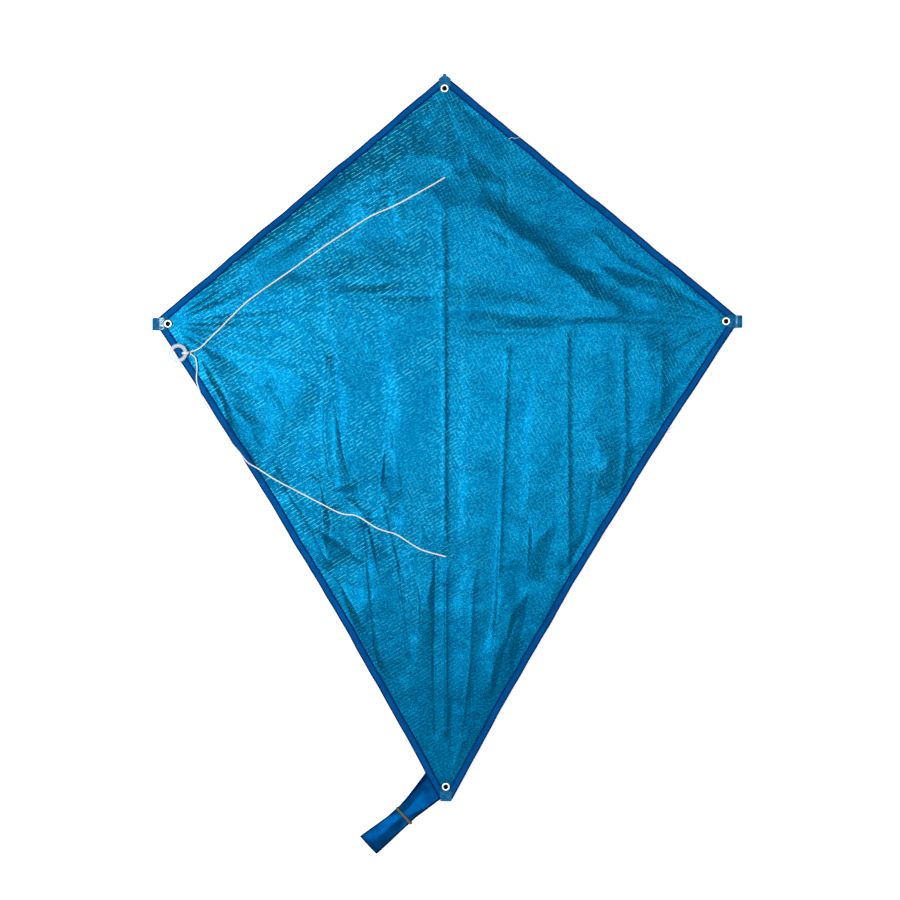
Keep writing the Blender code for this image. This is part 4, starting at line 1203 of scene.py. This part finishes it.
@dataclass
class Corners:
    """Eyelets, washers and clear strips at the four corners."""

    finishes: Finishes
    hole: float = 2.25 * MM
    barrel: float = 2.6 * MM
    flange: float = 4.0 * MM
    rim: float = 0.62 * MM
    ease: float = 0.3 * MM

    def matrix(self, name: str) -> Matrix:
        """Where a corner's eyelet stands: the washer's place, tilted with the sail."""
        low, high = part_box(f"eyelet_washer_{name}")
        middle = (low + high) / 2
        lean_x = lean_y = 0.0
        form = Form.read()
        if abs(middle.x) > abs(middle.y):
            lean_y = math.copysign(math.atan(form.fall), middle.x)
        lean_x = math.atan(form.slope) if lean_y == 0.0 else 0.0
        return Matrix.Translation(middle) @ Matrix.Rotation(lean_y, 4, "Y") @ Matrix.Rotation(lean_x, 4, "X")

    def build(self) -> None:
        """Make and dress the four corners."""
        crown = (self.hole + self.flange) / 2
        half_turn = [math.pi * (i + 1) / 12 for i in range(12)]
        for name in ("nose", "tail", "left", "right"):
            place = self.matrix(name)
            low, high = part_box(f"eyelet_{name}")
            washer_low, washer_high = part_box(f"eyelet_washer_{name}")
            middle = (washer_low.z + washer_high.z) / 2
            top = high.z - middle
            seat = top - self.rim
            foot = low.z - middle + 0.2 * MM
            profile = [(self.hole, foot), (self.barrel, foot), (self.barrel, seat), (self.flange, seat)]
            half = self.flange - crown
            profile += [(crown + half * math.cos(a), seat + self.rim * math.sin(a)) for a in half_turn]
            eyelet = turned(f"eyelet_{name}_rolled", profile, 56, place, ring=True)
            half = (washer_high.z - washer_low.z) / 2 * 0.8
            inner, outer = self.barrel + self.ease, self.flange - self.ease
            dish = [
                (inner, -half), (outer, -half), (self.flange, -half * 0.3),
                (self.flange, half * 0.5), (outer, half), (inner, half),
            ]
            washer = turned(f"washer_{name}_dished", dish, 56, place, ring=True)
            for piece, node in ((eyelet, f"eyelet_{name}"), (washer, f"eyelet_washer_{name}")):
                set_finish(piece, self.finishes.metal)
                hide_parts(node)
                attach(piece, "root")


@dataclass
class LooseThreads:
    """Thread ends that stick out of the hems."""

    form: Form
    finishes: Finishes
    radius: float = 0.22 * MM

    def strand(self, name: str, route: list[Point], material: bpy.types.Material) -> None:
        """One thread end.

        Args:
            name: the piece's name.
            route: (x, y, height above the sail) in millimetres.
            material: its material.
        """
        path = even_path([(x * MM, y * MM, z * MM) for x, y, z in route], 0.4 * MM)
        path[:, 2] += self.form.roof(path[:, 0], path[:, 1])

        def section(turn: np.ndarray, distance: np.ndarray) -> tuple[np.ndarray, np.ndarray]:
            """A round thread that thins to its end."""
            thin = self.radius * (1.0 - 0.5 * distance / distance.max())
            return thin * np.cos(turn * math.tau), thin * np.sin(turn * math.tau)

        piece = swept(name, path, section, 8)
        set_finish(piece, material)
        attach(piece, "root")

    def build(self) -> None:
        """Make the thread ends."""
        white, navy = self.finishes.cord, self.finishes.thread
        white_end = [(64, 182.5, 0.9), (67, 183.4, 1.3), (70, 182.6, 1.4), (74.5, 183.6, 1.1)]
        self.strand("thread_white", white_end, white)
        self.strand("thread_right_one", [(222, -108, 0.8), (225, -106, 1.6), (227.5, -104, 1.2)], navy)
        self.strand("thread_right_two", [(221, -110, 0.8), (224.5, -110, 1.5), (226.5, -108.6, 0.8)], navy)
        self.strand("thread_left", [(-234, -86, 0.8), (-237, -83.5, 1.5), (-238.6, -80, 1.0)], navy)
        self.strand("thread_low", [(-165, -205, 0.8), (-168, -204, 1.4), (-170.6, -205.4, 0.9)], navy)


@dataclass
class Sticks:
    """Rods, caps and the clip at the crossing."""

    finishes: Finishes

    def rod(self, node: str, body: str) -> None:
        """Replace a rod with a rounder one, its ends a little chamfered."""
        low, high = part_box(node)
        thin = min(high.x - low.x, high.y - low.y) / 2
        if high.x - low.x > high.y - low.y:
            start, end = Vector((low.x, 0, low.z + thin)), Vector((high.x, 0, low.z + thin))
        else:
            start, end = Vector((0, low.y, low.z + thin)), Vector((0, high.y, high.z - thin))
        length = (end - start).length
        edge = 0.3 * MM
        profile = [(0, 0), (thin - edge, 0), (thin, edge)]
        profile += [(thin, length - edge), (thin - edge, length), (0, length)]
        turn = (end - start).to_track_quat("Z", "Y").to_matrix().to_4x4()
        piece = turned(f"{node}_rod", profile, 40, Matrix.Translation(start) @ turn)
        set_finish(piece, self.finishes.rod)
        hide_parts(node)
        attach(piece, body)

    def build(self, nodes: dict[str, bpy.types.Object]) -> None:
        """Make the rods round and dress the caps and clip halves.

        Args:
            nodes: the CAD nodes by name.
        """
        self.rod("spine", "root")
        self.rod("cross_spar", "cross_spar")
        dressed = {
            "spine_cap_nose": self.finishes.vinyl, "spine_cap_tail": self.finishes.vinyl,
            "spar_cap_left": self.finishes.vinyl, "spar_cap_right": self.finishes.vinyl,
            "spine_clip": self.finishes.clip, "spar_clip": self.finishes.clip,
            "tail_tack": self.finishes.thread,
        }
        for name in ("nose", "tail", "left", "right"):
            # The side corners' films carry painted whitish glints.
            glint_films = {"left": self.finishes.left_glint, "right": self.finishes.streaky_glint}
            dressed[f"corner_pocket_{name}"] = glint_films.get(name, self.finishes.film)
        for name, material in dressed.items():
            set_finish(nodes[name], material)
            nodes[name].data.shade_smooth()
            nodes[name].data.set_sharp_from_angle(angle=math.radians(30))


@dataclass
class Bridle:
    """The two cord legs, their knots and the tow ring."""

    form: Form
    finishes: Finishes
    cord: float = 1.5 * MM
    on_sail: float = 1.2 * MM
    on_tape: float = 1.95 * MM
    lay: float = 3.6 * MM

    def pivot(self) -> Vector:
        """Where the cords meet the ring's knot."""
        joint = next(joint for joint in frame["joints"] if joint["name"] == "ring_swing")
        return Vector(joint["pos_m"])

    def upper_route(self) -> list[Point]:
        """(x, y, height above the sail) from the upper tow point to the ring."""
        end = self.pivot()
        rise = end.z - float(self.form.roof(np.array(end.x), np.array(end.y)))
        on_sail, on_tape = self.on_sail, self.on_tape - 0.15 * MM
        return [
            (0.0, self.form.tows[0], on_sail),
            (-0.016, 0.1345, on_sail),
            (-0.048, 0.117, on_sail),
            (-0.077, 0.104, on_sail),
            (-0.117, 0.079, on_sail),
            (-0.155, 0.0525, on_sail),
            (-0.187, 0.0305, on_sail),
            (-0.203, 0.018, on_sail),
            (-0.220, 0.0015, on_sail),
            (-0.234, -0.012, on_sail),
            (-0.2445, -0.0225, on_tape),
            (-0.250, -0.0265, on_tape + 1.2 * MM),
            (end.x - 1.2 * MM, end.y + 0.7 * MM, rise),
        ]

    def lower_route(self) -> list[Point]:
        """(x, y, height above the sail) from the ring to the lower tow point."""
        start = self.pivot()
        rise = start.z - float(self.form.roof(np.array(start.x), np.array(start.y)))
        on_sail, on_tape = self.on_sail, self.on_tape
        return [
            (start.x - 1.0 * MM, start.y - 0.4 * MM, rise),
            (-0.2515, -0.0345, on_tape + 1.0 * MM),
            (-0.2500, -0.044, on_tape),
            (-0.2505, -0.055, on_tape),
            (-0.2495, -0.0615, on_tape),
            (-0.2460, -0.0715, on_tape),
            (-0.2400, -0.0835, on_tape - 0.3 * MM),
            (-0.2310, -0.0985, on_tape - 0.5 * MM),
            (-0.2210, -0.1130, on_tape),
            (-0.2140, -0.1215, on_tape),
            (-0.2080, -0.1285, on_tape),
            (-0.1990, -0.1395, on_tape),
            (-0.1890, -0.1455, on_tape),
            (-0.1780, -0.1525, on_sail + 0.2 * MM),
            (-0.1690, -0.1580, on_sail),
            (-0.1270, -0.1800, on_sail),
            (-0.1040, -0.1910, on_sail),
            (-0.0885, -0.1935, on_sail),
            (-0.0675, -0.2058, on_sail),
            (-0.0480, -0.2125, on_sail),
            (-0.0250, -0.2265, on_sail),
            (0.0, self.form.tows[1], on_sail),
        ]

    def twisted(self, name: str, path: np.ndarray, thickness: float) -> bpy.types.Object:
        """A three-strand cord along a path.

        Args:
            name: the piece's name.
            path: points, one a row.
            thickness: the cord's diameter.

        Returns:
            The new object.
        """
        lay = self.lay * thickness / self.cord

        def section(turn: np.ndarray, distance: np.ndarray) -> tuple[np.ndarray, np.ndarray]:
            """Three lobes that wind round as the cord runs."""
            angle = turn * math.tau
            radius = thickness / 2 * (0.85 + 0.15 * np.cos(3 * (angle - distance / lay * math.tau / 3)))
            return radius * np.cos(angle), radius * np.sin(angle)

        piece = swept(name, path, section, 15)
        set_finish(piece, self.finishes.cord)
        return piece

    def leg(self, name: str, node: str, route: list[Point]) -> tuple[bpy.types.Object, np.ndarray]:
        """One leg, lying on the creased sail."""
        path = even_path(route, 0.8 * MM)
        path[:, 2] += self.form.height(path[:, 0], path[:, 1])
        ends = self.pivot()
        fade = np.clip(np.hypot(path[:, 0] - ends.x, path[:, 1] - ends.y) / (12 * MM), 0, 1)
        path[:, 2] -= self.form.relief(path[:, 0], path[:, 1]) * (1 - fade)
        piece = self.twisted(name, path, self.cord)
        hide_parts(node)
        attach(piece, "bridle")
        return piece, path

    def ring(self) -> bpy.types.Object:
        """The flat-topped ring with a raised bead along each rim."""
        low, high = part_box("tow_ring")
        middle = (low + high) / 2
        outer = (high.x - low.x) / 2
        inner = outer - 3.9 * MM
        half = (high.z - low.z) / 2
        bead = 0.55 * MM
        dip = 0.5 * MM
        profile = (
            rounded_corner((outer - bead, half - bead), bead, 0)
            + [(outer - 2 * bead, half - dip), (inner + 2 * bead, half - dip)]
            + rounded_corner((inner + bead, half - bead), bead, 90)
            + rounded_corner((inner + bead, bead - half), bead, 180)
            + rounded_corner((outer - bead, bead - half), bead, 270)
        )
        piece = turned("tow_ring_moulded", profile, 72, Matrix.Translation(middle), ring=True)
        set_finish(piece, self.finishes.ring)
        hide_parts("tow_ring")
        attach(piece, "ring")
        return piece

    def knot(self) -> bpy.types.Object:
        """Two turns of cord round the ring's rim."""
        low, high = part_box("ring_knot")
        middle = (low + high) / 2
        thick = 1.25 * MM
        half_x, half_z = (high.x - low.x - thick) / 2, (high.z - low.z - thick) / 2
        loop = rounded_loop(half_x, -half_z, half_z, 1.1 * MM)
        turns = 2
        wide = high.y - low.y - thick
        points = []
        total = turns * len(loop)
        for i in range(total + 1):
            x, z = loop[i % len(loop)]
            points.append((middle.x + x, middle.y - wide / 2 + wide * i / total, middle.z + z))
        piece = self.twisted("ring_knot_cord", even_path(points, 0.4 * MM), thick)
        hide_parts("ring_knot")
        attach(piece, "ring")
        return piece

    def tow_knot(self, node: str, leg_start: np.ndarray) -> None:
        """Two turns of cord round the spine, whose end rises through the sail."""
        low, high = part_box(node)
        radius = (high.x - low.x) / 2
        centre = Vector(((low.x + high.x) / 2, (low.y + high.y) / 2, low.z + radius))
        thick = 1.1 * MM
        round_spine = radius - thick / 2
        points = []
        for i in range(40):
            angle = math.tau * (0.25 + 2 * i / 39)
            points.append((
                centre.x + round_spine * math.cos(angle), centre.y + 0.9 * MM * (i / 39 - 0.5),
                centre.z + round_spine * math.sin(angle),
            ))
        top = leg_start[2] - self.cord * 0.2
        points += [(centre.x, centre.y + 0.4 * MM, centre.z + radius + 0.6 * MM), (centre.x, centre.y, top)]
        piece = self.twisted(f"{node}_cord", even_path(points, 0.4 * MM), thick)
        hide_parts(node)
        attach(piece, "root")

    def build(self) -> None:
        """Make the bridle legs, their knots and the tow ring."""
        upper, upper_path = self.leg("bridle_leg_upper", "bridle_upper_leg", self.upper_route())
        lower, lower_path = self.leg("bridle_leg_lower", "bridle_lower_leg", self.lower_route())
        ring = self.ring()
        knot = self.knot()
        self.tow_knot("tow_knot_upper", upper_path[0])
        self.tow_knot("tow_knot_lower", lower_path[-1])


@dataclass
class Tail:
    """The ribbon folded to and fro, nipped in by a rubber band."""

    finishes: Finishes
    plies: int = 7
    angle: float = 223.0
    waist_half: float = 9.9 * MM
    left_edge: tuple[Pair, ...] = ((0, -15.2), (32, -9.6), (46, -8.2), (61, -8.4), (93, -12.5))
    right_edge: tuple[Pair, ...] = ((0, 15.4), (8, 15.1), (40, 11.7), (93, 11.7))
    length: float = 95.5 * MM
    waist: float = 48.0 * MM
    waist_shift: float = 2.2 * MM
    behind: float = 4.6 * MM
    tuck: float = 4.0 * MM
    nip: float = 17.0 * MM
    clear: float = 0.25 * MM
    lift: float = 1.15 * MM
    pinch: float = 7.0 * MM
    stack: float = 2.75 * MM
    spring: float = 1.3 * MM
    facet: float = 2.3 * MM
    spread: float = 34.0 * MM
    rows_each: int = 34

    def tack(self) -> Vector:
        """Where the tail turns."""
        joint = next(joint for joint in frame["joints"] if joint["name"] == "tail_swing")
        return Vector(joint["pos_m"])

    def ribbon(self) -> bpy.types.Object:
        """One long ribbon, folded back at both ends of the bundle."""
        angle = math.radians(self.angle)
        ahead = np.array([math.cos(angle), math.sin(angle)])
        aside = np.array([-ahead[1], ahead[0]])
        tack = self.tack()
        span = self.length + self.behind

        def surface(u: np.ndarray, v: np.ndarray) -> tuple[np.ndarray, np.ndarray, np.ndarray]:
            """Lay the ribbon out ply by ply."""
            place = v * self.plies
            ply = np.minimum(place.astype(int), self.plies - 1)
            run = place - ply
            forward = np.where(ply % 2 == 0, run, 1 - run)
            inset = 0.9 * MM * np.sin(ply * 2.3)
            along = -self.behind + inset + (span - 2.4 * MM) * forward + 0.6 * MM
            near = np.exp(-(((along - self.waist) / self.nip) ** 2))
            left = np.interp(along / MM, *zip(*self.left_edge)) * MM + 0.4 * MM * (1 + np.sin(ply * 1.7))
            right = np.interp(along / MM, *zip(*self.right_edge)) * MM - 0.4 * MM * (1 + np.sin(ply * 1.9))
            tuck = self.tuck * np.clip(1 - along / self.waist, 0, 1) * (ply == self.plies - 1)
            across = left + tuck + (right - left - tuck) * u
            level = (ply + run * 0.9) / self.plies
            low = self.clear + self.lift * np.exp(-(((along - self.waist) / self.pinch) ** 2))
            loose = np.clip((along - 22 * MM) / (30 * MM), 0, 1)
            high = self.stack + self.spring * loose - self.lift * loose * near
            reach = np.abs(along - self.waist)
            fan = (across - self.waist_shift) / (reach + 9 * MM) * 1.15
            fan = fan + np.where(along > self.waist, 0.55, 0.15)
            zigzag = 2 * np.abs(fan - np.floor(fan + 0.5)) - 0.5
            fade = np.clip(reach / (12 * MM), 0, 1) * np.exp(-((reach / self.spread) ** 2))
            gather = self.facet * zigzag * fade
            ruck = 0.5 * MM * loose * np.sin(u * 5.0 + along / MM * 0.09 + ply * 0.6)
            z = low + (high - low) * level + gather + ruck * (1 - near)
            shift = 0.5 * MM * np.sin(ply * 2.9 + 0.5)
            flat = np.outer(along, ahead) + np.outer(across + shift, aside)
            return tack.x + flat[:, 0], tack.y + flat[:, 1], np.maximum(z, 0.15 * MM)

        piece = shaped("tail_ribbon_folded", 30, self.rows_each * self.plies, surface, across=True)
        wall = piece.modifiers.new("wall", "SOLIDIFY")
        wall.thickness = 0.12 * MM
        wall.offset = 0.0
        set_finish(piece, self.finishes.ribbon)
        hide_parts("tail_ribbon")
        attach(piece, "tail")
        return piece

    def band(self) -> None:
        """The rubber band, a soft square section pulled tight round the waist."""
        angle = math.radians(self.angle)
        tack = self.tack()
        aside = np.array([-math.sin(angle), math.cos(angle), 0.0])
        ahead = np.array([math.cos(angle), math.sin(angle), 0.0])
        centre = np.array([tack.x, tack.y, 0.0]) + self.waist * ahead
        centre = centre + self.waist_shift * aside
        low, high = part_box("rubber_band")
        thick = 0.8 * MM
        loop = rounded_loop(self.waist_half + 0.9 * MM, low.z + thick / 2, high.z - thick / 2, 1.5 * MM)
        points = [centre + aside * x + np.array([0, 0, z]) for x, z in loop]
        path = even_path([tuple(p) for p in points] + [tuple(points[0])], 0.6 * MM)
        wide = 2.3 * MM

        def section(turn: np.ndarray, distance: np.ndarray) -> tuple[np.ndarray, np.ndarray]:
            """A flat band's outline with round edges."""
            angle = turn * math.tau
            side = np.sign(np.cos(angle)) * np.abs(np.cos(angle)) ** 0.5 * wide / 2
            up = np.sign(np.sin(angle)) * np.abs(np.sin(angle)) ** 0.7 * thick / 2
            return up, side

        piece = swept("rubber_band_loop", path, section, 16, closed=True)
        set_finish(piece, self.finishes.rubber)
        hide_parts("rubber_band")
        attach(piece, "tail")

    def build(self) -> None:
        """Make the tail."""
        ribbon = self.ribbon()
        self.band()


def main() -> None:
    """Build every sub-assembly in order and report it."""
    logging.basicConfig(level=logging.INFO, format="%(name)s: %(message)s")
    stage = Stage()
    stage.camera()
    form = Form.read()
    finishes = Finishes()
    Bridle(form, finishes).build()
    LOG.info("bridle, knots and tow ring made")
    stage.build()
    Sail(form, finishes).build()
    LooseThreads(form, finishes).build()
    LOG.info("sail, tapes, stitching and loose threads made")
    Corners(finishes).build()
    LOG.info("eyelets and washers made")
    Sticks(finishes).build(frame["nodes"])
    LOG.info("rods, caps and clip dressed")
    Tail(finishes).build()
    LOG.info("tail made")


if __name__ == "__main__":
    main()
